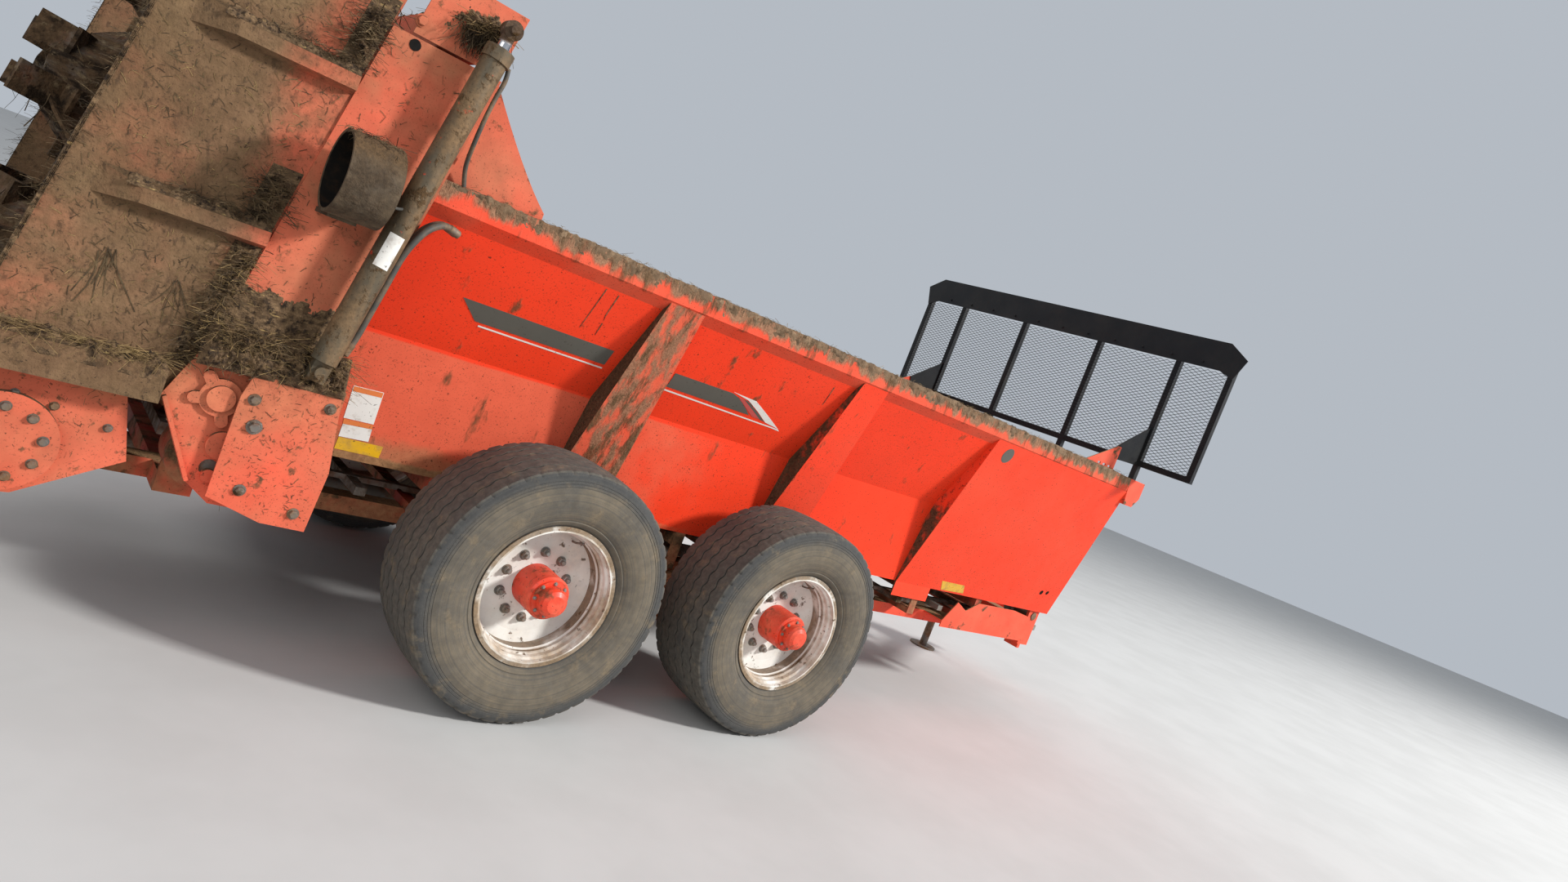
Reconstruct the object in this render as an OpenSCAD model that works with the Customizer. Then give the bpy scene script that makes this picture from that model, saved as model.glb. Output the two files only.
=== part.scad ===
// Box manure spreader on a tandem walking-beam axle, with vertical beaters and a sliding endgate.
// Millimetres. X runs forward to the hitch, Y to the left, Z up from the ground.
// Pieces are placed from the middle of the tandem, and machine() moves them to the part's origin.

/* [Box] */
// From the tandem's centre forward to the foot of the box's front edge
box_front = 3630; // [3500:5:3700]
// How far the front edge leans back, in degrees
front_lean = 10.5; // [4:0.5:14]
// Height of the lower edge of the side sheets
sheet_z = 790; // [780:5:820]
// Height of the crease in the side sheets
crease_z = 1310; // [1200:5:1400]
// Height where the side sheets meet the top rails
sheet_top_z = 1773; // [1700:1:1850]
// Half the width of the box at the lower edge
half_low = 753; // [740:1:770]
// Half the width of the box at the crease
half_crease = 814; // [800:1:850]
// Half the width of the box under the top rails
half_top = 1046; // [1030:1:1060]
// Thickness of the side, front and endgate sheets
sheet_t = 5; // [4:0.5:8]
// Height of a top rail
rail_h = 134; // [100:1:160]
// How far a top rail stands out beyond the sheet
rail_out = 47; // [40:1:60]
// Height of the bevel under a top rail
rail_bevel = 48; // [40:1:60]
// Width of a top rail across its top
rail_w = 90; // [70:1:110]
// Width of a side stake at its head
stake_head = 182; // [120:2:240]
// Width of a side stake at its foot
stake_foot = 305; // [240:5:360]
// Thickness of the floor
floor_t = 20; // [12:1:30]

/* [Frame] */
// Height of the underside of the frame rails
frame_z = 530; // [525:1:545]
// Height of a frame rail
frame_h = 70; // [60:1:75]
// Width of a frame rail
frame_w = 100; // [80:5:120]
// Half the width over the frame rails
frame_half = 600; // [580:5:610]
// Forward end of the frame rails, from the tandem's centre
frame_front = 3660; // [3620:5:3700]
// Rear end of the frame rails, behind the tandem's centre
frame_back = 2600; // [2560:5:2640]

/* [Apron] */
// Pitch of the slats
slat_pitch = 420; // [300:10:500]
// Half the length of a slat
slat_half = 725; // [700:1:727]
// Half the distance between the two chains
chain_y = 560; // [400:10:640]
// Width of a chain
chain_w = 34; // [24:1:44]

/* [Wheels] */
// Distance between the two axles of the tandem
wheelbase = 1352; // [1250:2:1500]
// Outer diameter of a tyre, as it sits
tyre_d = 1090; // [1060:5:1124]
// Width of a tyre
tyre_w = 425; // [410:5:440]
// Bead diameter of a rim
bead_d = 571.5; // [571.5:0.5:580]
// Width of a rim over its flanges
rim_w = 350; // [340:5:360]
// Half the track, from the centreline to the middle of a tyre
half_track = 1118; // [1110:2:1140]
// Diameter of a spindle inside its hub
spindle_d = 70; // [60:1:90]
// Diameter of the pivot stub of a walking beam
pivot_d = 110; // [90:2:120]

/* [Beaters] */
// How far the rear frame, endgate and beaters lean forward, in degrees
lean = 9.5; // [7:0.5:11]
// Beater axis behind the tandem's centre, at ground level
beater_x = 2585; // [2575:5:2600]
// Half the distance between the two beaters
beater_y = 490; // [485:1:510]
// Radius over the beater knives
beater_r = 425; // [400:5:440]
// Radius of the disc under each beater
disc_r = 450; // [430:5:460]
// Height of the beater discs, along the lean
disc_z = 945; // [940:5:960]
// Height of the top of the beater tubes, along the lean
beater_top = 2400; // [2300:10:2420]
// Diameter of a beater tube
beater_tube = 220; // [160:5:260]
// Rows of knives up a beater
knife_rows = 7; // [5:1:9]

/* [Endgate] */
// Endgate travel along the lean
gate_travel = 950; // [700:10:1000]
// Height of the top of the rear columns
column_top = 2290; // [2250:10:2320]
// Front edge of the rear columns behind the tandem's centre, at ground level
column_front = 1848; // [1840:2:1860]
// Half the width over the rear columns
column_half = 1100; // [1095:1:1110]
// Outer diameter of a lift cylinder
cylinder_d = 86; // [70:1:96]
// Diameter of a lift rod
rod_d = 45; // [35:1:55]

/* [Guard] */
// Distance of the front guard ahead of the tandem's centre
guard_x = 3564; // [3530:2:3600]
// Height of the top of the front guard
guard_top = 2979; // [2900:1:3100]
// Half the width of the guard at its top
guard_half = 1311; // [1250:1:1360]

/* [Hitch] */
// Distance of the hitch pin ahead of the tandem's centre
hitch_x = 4700; // [4660:10:4900]
// Height of the hitch eye
hitch_z = 480; // [460:5:500]
// Diameter of the hitch eye's hole
hitch_d = 42; // [38:1:52]
// Diameter of the splined input shaft
input_d = 35; // [30:1:45]

/* [Hidden] */
$fn = 48;

red = "#e2401f";
dark_red = "#c8371c";
steel = "#6e675c";
black = "#26292c";
cream = "#e4e0d8";
lens_red = "#a01810";

// Clearance between two pieces that rest on each other
seat = 0.3;
// Diameter that a running bore has over its shaft
bore_fit = 0.6;
// Clearance of the endgate in its guides
slide_fit = 5;
// How deep a solid reaches into the solid of its own piece that carries it
weld = 1;

axle_z = tyre_d / 2;
frame_top = frame_z + frame_h;
rail_top_z = sheet_top_z + rail_h;
rail_half = half_top + rail_out;

hitch_ring_r = hitch_d / 2 + 41;
x_front = hitch_x + hitch_ring_r;
disc_t = 15;
x_rear = beater_x + disc_r * cos(lean) - (disc_z - disc_t) * sin(lean);
x_mid = (x_front - x_rear) / 2;

// X of a point that leans with the rear frame, from its place x0 behind the tandem at the ground
function lean_x(x0, z) = -x0 + z * tan(lean);
// XZ point at u ahead of a leaning axis and l up along it
function lean_point(x0, u, l) = [-x0 + u * cos(lean) + l * sin(lean), l * cos(lean) - u * sin(lean)];
// X of the box's front edge at a height
function front_x(z) = box_front - (z - sheet_z) * tan(front_lean);
// Point t of the way along an arc from a to c that bends towards b
function bend(a, b, c, t) = (1 - t) * (1 - t) * a + 2 * t * (1 - t) * b + t * t * c;
function reversed(list) = [for (i = [len(list) - 1:-1:0]) list[i]];
function across(list) = [for (p = reversed(list)) [-p[0], p[1]]];
function flipped(list) = [for (p = list) [p[0], -p[1]]];

module machine(c) { color(c) translate([-x_mid, 0, 0]) children(); }
// Extrudes a YZ outline from x0 to x1
module along_x(x0, x1) { translate([x0, 0, 0]) rotate([90, 0, 90]) linear_extrude(x1 - x0) children(); }
// Extrudes an XZ outline from y0 to y1
module along_y(y0, y1) { translate([0, y1, 0]) rotate([90, 0, 0]) linear_extrude(y1 - y0) children(); }
module both_sides() { children(); mirror([0, 1, 0]) children(); }
// Upright axis that leans with the rear frame
module leaning(x0, y) { translate([-x0, y, 0]) rotate([0, lean, 0]) children(); }
module box(x0, x1, y0, y1, z0, z1) { translate([x0, y0, z0]) cube([x1 - x0, y1 - y0, z1 - z0]); }
// Round bars along X and along Y
module bar_x(x0, x1, y, z, d) { translate([x0, y, z]) rotate([0, 90, 0]) cylinder(d = d, h = x1 - x0); }
module bar_y(x, z, d, y0, y1) { translate([x, y0, z]) rotate([-90, 0, 0]) cylinder(d = d, h = y1 - y0); }
// XZ outline of a plate between two leaning edges
module lean_quad(xa, xb, z0, z1) {
    polygon([[lean_x(xa, z0), z0], [lean_x(xb, z0), z0], [lean_x(xb, z1), z1], [lean_x(xa, z1), z1]]);
}

/* Side sheets */
gate_x = 2015;
sheet_rear = gate_x - 40;
module sheet_outline() {
    polygon([[half_low - sheet_t, sheet_z], [half_low, sheet_z], [half_crease, crease_z], [half_top, sheet_top_z],
        [half_top - sheet_t, sheet_top_z], [half_crease - sheet_t, crease_z]]);
}
// Block from the leaning rear plane to the leaning front edge
module box_length(z0, z1) {
    along_y(-rail_half, rail_half) polygon([[lean_x(sheet_rear, z0), z0], [front_x(z0), z0],
        [front_x(z1), z1], [lean_x(sheet_rear, z1), z1]]);
}
module side_sheet() {
    intersection() {
        along_x(-sheet_rear, box_front) sheet_outline();
        box_length(sheet_z, sheet_top_z);
    }
}
module side_left() { machine(red) side_sheet(); }
module side_right() { machine(red) mirror([0, 1, 0]) side_sheet(); }

/* Stakes, and the outer panel that carries on from the front one */
stake_x = [-573, 651];
stake_run = 80;
outer_x = 1918;
outer_low = half_low + 12;
outer_top = rail_half - 6;
outer_top_z = sheet_top_z + (outer_top - half_top) * rail_bevel / rail_out - 2 * seat;
foot_z = 700;
foot_l = 340;
module stake_outline() {
    polygon([[half_low + seat, sheet_z], [outer_low, sheet_z], [outer_top, outer_top_z],
        [half_top + seat, sheet_top_z - 2 * seat], [half_crease + seat, crease_z]]);
}
module stake(x) {
    intersection() {
        along_x(x, x + stake_foot) stake_outline();
        along_y(half_low, rail_half) polygon([[x, sheet_z], [x + stake_foot, sheet_z],
            [x + stake_run + stake_head, outer_top_z], [x + stake_run, outer_top_z]]);
    }
}
module stakes_side() {
    for (x = stake_x) stake(x);
    along_x(outer_x, outer_x + sheet_t) stake_outline();
    intersection() {
        along_x(outer_x, box_front) polygon([[outer_low - sheet_t, sheet_z], [outer_low, sheet_z],
            [outer_top, outer_top_z], [outer_top - sheet_t, outer_top_z - sheet_t]]);
        box_length(sheet_z, outer_top_z);
    }
    box(outer_x, outer_x + foot_l, half_low + seat, outer_low, foot_z, sheet_z + weld);
}
module stakes_left() { machine(red) stakes_side(); }
module stakes_right() { machine(red) mirror([0, 1, 0]) stakes_side(); }

/* Top rails */
rail_front = front_x(rail_top_z);
module top_rails() {
    machine(red) both_sides() intersection() {
        along_x(-column_front, rail_front)
            polygon([[half_top, sheet_top_z], [rail_half, sheet_top_z + rail_bevel], [rail_half, rail_top_z],
                [rail_half - rail_w, rail_top_z], [rail_half - rail_w, sheet_top_z]]);
        // The rear end is cut parallel to the leaning columns
        along_y(0, rail_half) polygon([
            [lean_x(column_front - seat, sheet_top_z), sheet_top_z], [rail_front, sheet_top_z],
            [rail_front, rail_top_z], [lean_x(column_front - seat, rail_top_z), rail_top_z]]);
    }
}

/* Floor */
floor_top = sheet_z + floor_t;
sprocket_r = 62;
apron_rear = -1930;
apron_front = front_x(floor_top) - 120;
apron_z = floor_top + seat - sprocket_r;
floor_gap = 15;
module floor() {
    machine(steel) box(apron_rear + sprocket_r + floor_gap, apron_front - sprocket_r - floor_gap,
        -half_low + sheet_t, half_low - sheet_t, sheet_z, floor_top);
}

/* Front panel with its three upright ribs */
panel_low = 880;
panel_set = 12;
panel_rib_y = 500;
panel_rib_w = 80;
panel_rib_out = 42;
inside = [[half_low, sheet_z], [half_crease, crease_z], [half_top, sheet_top_z],
    [rail_half - rail_w, sheet_top_z], [rail_half - rail_w, rail_top_z]];
module front_slab(z0, z1, t) {
    polygon([[front_x(z0) - panel_set, z0], [front_x(z0) - panel_set + t, z0],
        [front_x(z1) - panel_set + t, z1], [front_x(z1) - panel_set, z1]]);
}
module front_panel() {
    half = [for (p = inside) [p[0] - sheet_t, p[1]]];
    machine(red) intersection() {
        along_x(0, box_front + panel_rib_out) polygon(concat(half, across(half)));
        union() {
            along_y(-rail_half, rail_half) front_slab(panel_low, rail_top_z, -sheet_t);
            for (y = [-1, 0, 1] * panel_rib_y) along_y(y - panel_rib_w / 2, y + panel_rib_w / 2)
                front_slab(panel_low, sheet_top_z - 50, panel_rib_out);
        }
    }
}
beam_deep = 180;
beam_lip = 110;
beam_reach = 60;
module front_beam() {
    machine(red) along_y(-rail_half + sheet_t, rail_half - sheet_t) polygon([
        [rail_front + seat, rail_top_z], [guard_x + beam_reach, rail_top_z], [guard_x + beam_reach, rail_top_z - beam_lip],
        [guard_x, rail_top_z - beam_deep], [front_x(rail_top_z - beam_deep) + seat, rail_top_z - beam_deep]]);
}

/* Gussets that brace the guard from the top rails */
gusset_in = 93;
gusset_y = rail_half - gusset_in;
gusset_x = [2930, 3300];
gusset_rise = 170;
gusset_tip = 40;
gusset_slot = [36, 14];
gusset_slot_x = [3090, 3155, 3220];
plate_t = 8;
module corner_gussets() {
    machine(red) both_sides() along_y(gusset_y + seat, gusset_y + seat + plate_t) difference() {
        polygon([[gusset_x[0], rail_top_z], [gusset_x[1], rail_top_z], [gusset_x[1], rail_top_z + gusset_rise],
            [gusset_x[1] - gusset_tip, rail_top_z + gusset_rise]]);
        for (x = gusset_slot_x) translate([x, rail_top_z + gusset_slot[1]]) square(gusset_slot);
    }
}

/* Front guard: visor, posts, lower bar and mesh */
visor_h = 195;
visor_t = 6;
post_w = 40;
post_y = [350, gusset_y - 3, guard_half + 74];
guard_low = 2010;
spike_h = 280;
// Half width of the visor at a distance down from the guard's top
visor_edge = [[guard_half, 0], [guard_half + 145, 90], [guard_half + 92, 235], [guard_half - 11, visor_h]];
visor_half = [for (p = visor_edge) [p[0], guard_top - p[1]]];
module guard_frame() {
    machine(black) {
        along_x(guard_x, guard_x + visor_t) polygon(concat(visor_half, across(visor_half)));
        both_sides() {
            for (y = post_y) box(guard_x + visor_t, guard_x + visor_t + post_w, y - post_w / 2, y + post_w / 2,
                y < gusset_y ? rail_top_z : guard_low, y < guard_half ? guard_top - post_w / 2 : guard_top - 2 * post_w);
            along_y(gusset_y - plate_t, gusset_y) polygon([[gusset_x[1] - gusset_tip, rail_top_z + gusset_rise],
                [gusset_x[1], rail_top_z + gusset_rise / 2], [guard_x + visor_t + weld, guard_low],
                [guard_x + visor_t + weld, guard_low + spike_h]]);
        }
        box(guard_x + visor_t, guard_x + visor_t + post_w, -post_y[2], post_y[2], guard_low, guard_low + post_w);
    }
}
mesh_t = 4;
mesh_half = post_y[2] + 15;
mesh_n = 12;
mesh_rows = 6;
mesh_rim = 14;
mesh_strand = 16;
module guard_mesh() {
    inner = visor_half[3];
    drop = (inner[1] - visor_half[2][1]) * (mesh_half - inner[0]) / (visor_half[2][0] - inner[0]);
    half = [[mesh_half, guard_low], [mesh_half, inner[1] - drop - 2 * seat], [inner[0], inner[1] - 2 * seat]];
    pitch = [2 * (mesh_half - mesh_rim) / mesh_n, (inner[1] - guard_low - 2 * mesh_rim) / mesh_rows];
    hole = [(pitch[0] - mesh_strand) / 2, (pitch[1] - mesh_strand / 2) / 2];
    machine(black) along_x(guard_x + visor_t - seat - mesh_t, guard_x + visor_t - seat) difference() {
        polygon(concat(half, across(half)));
        // Diamonds, in staggered rows
        for (j = [1:2 * mesh_rows - 1], i = [0:mesh_n - 1]) {
            y = (i + (j % 2) / 2 - mesh_n / 2) * pitch[0];
            z = guard_low + mesh_rim + j * pitch[1] / 2;
            top = inner[1] - 2 * seat - max(0, abs(y) - inner[0]) * drop / (mesh_half - inner[0]);
            if (abs(y) + hole[0] < mesh_half - mesh_rim && z + hole[1] < top)
                polygon([[y - hole[0], z], [y, z - hole[1]], [y + hole[0], z], [y, z + hole[1]]]);
        }
        // Slots for the braces
        for (y = [-gusset_y - seat, gusset_y - plate_t - seat]) translate([y, guard_low - weld])
            square([plate_t + 2 * seat, spike_h + 2 * weld]);
    }
}

/* Main frame */
pivot_z = 430;
pivot_bracket = [190, 95, 75];
end_plate_t = 15;
end_plate_low = frame_z - 70;
bearing_y = half_low - 18;
bearing_t = 10;
bearing_half = 60;
shaft_d = 55;
bar_w = 60;
bar_x0 = [-400, 340, 1700, frame_front - bar_w];
saddle = 150;
saddle_l = 660;
rail_in = frame_half - frame_w;
bearing_out = bearing_y + bearing_t;
// Outline of the side plate at the front of a frame rail: X, height above the rail
front_plate = [[2500, 0], [2596, 138], [2703, 92], [2820, 159], [3241, 163], [3457, 136], [3457, -44], [2500, -44]];
end_plate_rise = 60;
module frame_side() {
    saddle_end = [lean_point(beater_x, -saddle, saddle_l - seat), lean_point(beater_x, saddle, saddle_l - seat)];
    box(-frame_back, frame_front, rail_in, frame_half, frame_z, frame_top);
    // Side plate outside the apron, on a flat foot
    box(front_plate[0][0], front_plate[5][0], frame_half - weld, half_low + plate_t, frame_top - plate_t, frame_top);
    along_y(half_low + seat, half_low + plate_t) polygon([for (p = front_plate) [p[0], frame_top + p[1]]]);
    box(frame_front, frame_front + end_plate_t, rail_in, frame_half + 20, end_plate_low, frame_top + end_plate_rise);
    difference() {
        along_y(rail_in + 10, frame_half - 10) polygon([[-pivot_bracket[0], frame_z + weld], [pivot_bracket[0], frame_z + weld],
            [pivot_bracket[1], pivot_z - pivot_bracket[2]], [-pivot_bracket[1], pivot_z - pivot_bracket[2]]]);
        bar_y(0, pivot_z, pivot_d + bore_fit, rail_in, frame_half);
    }
    along_y(rail_in, frame_half) polygon([[saddle_end[0][0], frame_top - weld], [saddle_end[1][0], frame_top - weld],
        saddle_end[1], saddle_end[0]]);
    for (x = [apron_rear, apron_front]) {
        box(x - bearing_half, x + bearing_half, frame_half - weld, bearing_out, frame_z, frame_top);
        difference() {
            box(x - bearing_half, x + bearing_half, bearing_y - bearing_t, bearing_out, frame_top - weld, sheet_z - sheet_t);
            bar_y(x, apron_z, shaft_d + bore_fit, rail_in, half_low);
        }
    }
}
module frame_left() { machine(red) frame_side(); }
module frame_right() { machine(red) mirror([0, 1, 0]) frame_side(); }
module frame_bars() {
    machine(red) {
        for (x = bar_x0) box(x, x + bar_w, -rail_in, rail_in, frame_z, frame_top);
        for (x = [apron_rear, apron_front]) box(x - bearing_half, x + bearing_half, -rail_in, rail_in, frame_z, frame_top - weld);
    }
}

/* Cross members: open frames that carry the floor and let the apron return through them */
cross_n = 8;
cross_x = -1700;
cross_pitch = 640;
cross_w = 60;
cross_h = 70;
cross_foot = 34;
module cross_members() {
    machine(dark_red) for (i = [0:cross_n - 1]) along_x(cross_x + i * cross_pitch, cross_x + i * cross_pitch + cross_w) difference() {
        translate([-half_low, frame_top]) square([2 * half_low, sheet_z - frame_top]);
        translate([-half_low + plate_t, frame_top + cross_foot])
            square([2 * (half_low - plate_t), sheet_z - frame_top - cross_foot - cross_h]);
    }
}

/* Tongue */
tongue_z = 500;
tongue_h = 130;
tongue_w = 90;
tongue_back = frame_front + end_plate_t;
tongue_y = 470;
tongue_nose = hitch_x - 180;
nose_l = 260;
nose_half = 110;
shaft_z = 490;
input_z = 740;
input_x = hitch_x - 380;
input_collar = 60;
jack_x = 4060;
jack_y = 470;
jack_d = 76;
module tongue() {
    run = [tongue_nose - nose_l + 80 - tongue_back, tongue_y - nose_half + 15];
    end_top = tongue_z + tongue_h + 30;
    machine(red) {
        box(tongue_back, tongue_back + 110, -frame_half, frame_half, tongue_z + 45, end_top);
        both_sides() {
            box(tongue_back, tongue_back + end_plate_t, rail_in, frame_half + 20, end_plate_low, end_top);
            translate([tongue_back + end_plate_t - weld, tongue_y, tongue_z]) rotate([0, 0, -atan2(run[1], run[0])])
                cube([norm(run) + 60, tongue_w, tongue_h]);
        }
        box(tongue_nose - nose_l, tongue_nose, -nose_half, nose_half, hitch_z - 60, tongue_z + tongue_h);
        difference() {
            box(input_x - 30, input_x + 30, -input_collar, input_collar, tongue_z + tongue_h - weld, input_z + input_collar);
            bar_x(input_x - 40, input_x + 40, 0, input_z, input_collar + bore_fit);
        }
        box(jack_x - 45, jack_x + 45, jack_y - 190, jack_y - jack_d / 2 - seat, tongue_z + 5, tongue_z + tongue_h - 5);
    }
}
eye_t = 40;
module hitch_eye() {
    machine(steel) {
        box(tongue_nose, tongue_nose + 30, -nose_half + 5, nose_half - 5, hitch_z - 60, tongue_z + tongue_h - 10);
        difference() {
            union() {
                box(tongue_nose + 30 - weld, hitch_x, -45, 45, hitch_z - eye_t / 2, hitch_z + eye_t / 2);
                translate([hitch_x, 0, hitch_z - eye_t / 2]) cylinder(r = hitch_ring_r, h = eye_t);
            }
            translate([hitch_x, 0, hitch_z - eye_t]) cylinder(d = hitch_d, h = 2 * eye_t);
        }
    }
}

/* Parking jack */
leg_d = 62;
leg_top = 590;
tube_low = 300;
tube_top = 900;
crank_d = 18;
module jack_tube() {
    machine(steel) translate([jack_x, jack_y, 0]) {
        difference() {
            translate([0, 0, tube_low]) cylinder(d = jack_d, h = tube_top - tube_low);
            translate([0, 0, tube_low - weld]) cylinder(d = leg_d + bore_fit, h = tube_top - tube_low);
        }
        translate([-50, -50, tube_top - weld]) cube([100, 100, 60]);
        bar_y(0, tube_top + 35, crank_d, 49, 140);
        translate([0, 130, tube_top - 110]) cylinder(d = crank_d, h = 150);
    }
}
module jack_leg() {
    machine(steel) translate([jack_x, jack_y, 0]) {
        cylinder(d = 220, h = 12);
        translate([0, 0, 12 - weld]) cylinder(d = leg_d, h = leg_top);
    }
}

/* Tandem */
beam_y = [690, 850];
beam_mid = [150, 120, 90];
beam_nose = [110, 70];
beam_neck = [80, 75, 20];
module pivot_stubs() {
    machine(dark_red) both_sides() bar_y(0, pivot_z, pivot_d, rail_in, beam_y[1] + 40);
}
module walking_beams() {
    h = wheelbase / 2;
    // Half of the beam's outline from its middle to its end: X, Z
    top = [[beam_mid[0], pivot_z + beam_mid[1]], [h - beam_neck[0], axle_z + beam_neck[1]],
        [h + beam_nose[0], axle_z + beam_nose[1]]];
    bottom = [[h + beam_nose[0], axle_z - beam_nose[1]], [h - beam_neck[0] / 2, axle_z - beam_nose[1] - beam_neck[2]],
        [beam_mid[0] - beam_neck[2], pivot_z - beam_mid[2]]];
    front = concat(top, bottom);
    machine(red) both_sides() difference() {
        along_y(beam_y[0], beam_y[1]) polygon(concat(front, across(front)));
        bar_y(0, pivot_z, pivot_d + bore_fit, beam_y[0] - weld, beam_y[1] + weld);
    }
}
hub_in = -133;
spindle_end = 120;
module spindles() {
    machine(steel) both_sides() for (x = [-1, 1] * wheelbase / 2) {
        bar_y(x, axle_z, 160, beam_y[1], beam_y[1] + 20);
        bar_y(x, axle_z, spindle_d + 30, beam_y[1] + 20 - weld, half_track + hub_in - 5);
        bar_y(x, axle_z, spindle_d, half_track + hub_in - 6, half_track + spindle_end);
    }
}

/* Wheels: outlines give radius and distance out from the middle of the tyre */
bead_r = bead_d / 2;
tyre_r = tyre_d / 2;
hw = tyre_w / 2;
flange_in = 8.7;
tyre_fn = 36;
module wheel_at(f, s) { translate([f * wheelbase / 2, s * half_track, axle_z]) rotate([-90 * s, 0, 0]) children(); }
module tyre() {
    seat_w = rim_w / 2 - flange_in - 2 * seat;
    casing = [[bead_r + seat, seat_w - 6], [bead_r + 14, seat_w], [bead_r + 45, hw - 22], [bead_r + 120, hw],
        [tyre_r - 14, hw - 24], [tyre_r, hw - 110]];
    lining = [[bead_r + seat, seat_w - 40], [tyre_r - 60, hw - 45]];
    rotate_extrude($fn = tyre_fn) polygon(concat(casing, flipped(reversed(casing)), flipped(lining), reversed(lining)));
}
disc_face = 34;
web_t = 14;
hub_r = 90;
well_r = bead_r - 23.75;
module rim() {
    lip = rim_w / 2;
    rotate_extrude($fn = 96) polygon([
        [bead_r + 13, lip], [bead_r + 13, lip - flange_in], [bead_r, lip - flange_in], [bead_r, lip - 55],
        [well_r, lip - 80], [well_r, -lip + 115], [bead_r, -lip + 75], [bead_r, -lip + flange_in],
        [bead_r + 13, -lip + flange_in], [bead_r + 13, -lip], [bead_r - 9.75, -lip], [bead_r - 9.75, -lip + 69],
        [well_r - 10, -lip + 109], [well_r - 10, web_t], [205, disc_face - web_t], [hub_r + seat, disc_face - web_t],
        [hub_r + seat, disc_face], [205, disc_face], [well_r - 10, disc_face + 6], [well_r - 10, lip - 84],
        [bead_r - 27, lip - 78], [bead_r - 27, lip - 62], [bead_r - 19, lip - 54], [bead_r - 19, lip - 32],
        [bead_r - 9.75, lip - 24], [bead_r - 9.75, lip]]);
}
hub_out = 184;
cap_out = 250;
cap_r = 60;
cap_flange = [16, 10];
module hub() {
    bore_r = (spindle_d + bore_fit) / 2;
    back = disc_face - web_t - seat;
    rotate_extrude($fn = 64) polygon([[bore_r, hub_in], [100, hub_in], [100, 0], [170, 4], [170, back], [hub_r, back],
        [hub_r, hub_out - 8], [hub_r - 8, hub_out], [cap_r + cap_flange[0], hub_out],
        [cap_r + cap_flange[0], hub_out + cap_flange[1]], [cap_r, hub_out + cap_flange[1]], [cap_r, cap_out - 24],
        [cap_r - 7, cap_out - 10], [cap_r - 24, cap_out - 1], [cap_r - 40, cap_out],
        [0, cap_out], [0, spindle_end + 10], [bore_r, spindle_end + 10]]);
}
module tyre_fl() { machine(black) wheel_at(1, 1) tyre(); }
module tyre_fr() { machine(black) wheel_at(1, -1) tyre(); }
module tyre_rl() { machine(black) wheel_at(-1, 1) tyre(); }
module tyre_rr() { machine(black) wheel_at(-1, -1) tyre(); }
module rim_fl() { machine(cream) wheel_at(1, 1) rim(); }
module rim_fr() { machine(cream) wheel_at(1, -1) rim(); }
module rim_rl() { machine(cream) wheel_at(-1, 1) rim(); }
module rim_rr() { machine(cream) wheel_at(-1, -1) rim(); }
module hub_fl() { machine(red) wheel_at(1, 1) hub(); }
module hub_fr() { machine(red) wheel_at(1, -1) hub(); }
module hub_rl() { machine(red) wheel_at(-1, 1) hub(); }
module hub_rr() { machine(red) wheel_at(-1, -1) hub(); }

/* Apron: two chains and their slats, one closed loop */
chain_t = 22;
link_pitch = 210;
link_gap = [26, 8];
slat_h = 34;
slat_w = 45;
slat_in = 3;
module loop_shape(r) {
    for (x = [apron_rear, apron_front]) translate([x, apron_z]) circle(r = r);
    translate([apron_rear, apron_z - r]) square([apron_front - apron_rear, 2 * r]);
}
module apron() {
    n = floor((apron_front - apron_rear) / slat_pitch);
    machine(steel) {
        for (y = [-1, 1] * chain_y) along_y(y - chain_w / 2, y + chain_w / 2) difference() {
            loop_shape(sprocket_r + chain_t);
            loop_shape(sprocket_r);
            // Gaps between the links
            for (i = [0:2 * n - 1], s = [-1, 1]) translate([apron_rear + i * link_pitch,
                apron_z + s * (sprocket_r + chain_t - link_gap[1] / 2)]) square(link_gap, center = true);
        }
        for (i = [0:n - 1], s = [-1, 1]) {
            x = apron_rear + (i + 0.5) * slat_pitch;
            z = apron_z + s * (sprocket_r + slat_in + slat_h / 2);
            box(x - slat_w / 2, x + slat_w / 2, -slat_half, slat_half, z - slat_h / 2, z + slat_h / 2);
        }
        box(apron_rear - sprocket_r - slat_in - slat_h, apron_rear - sprocket_r - slat_in, -slat_half, slat_half,
            apron_z - slat_w / 2, apron_z + slat_w / 2);
    }
}
module apron_shafts() {
    machine(steel) for (x = [apron_rear, apron_front]) {
        reach = x < 0 ? column_half : half_low;
        bar_y(x, apron_z, shaft_d, -reach, reach);
        for (y = [-1, 1] * chain_y) bar_y(x, apron_z, 2 * (sprocket_r - seat), y - chain_w, y + chain_w);
    }
}

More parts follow.
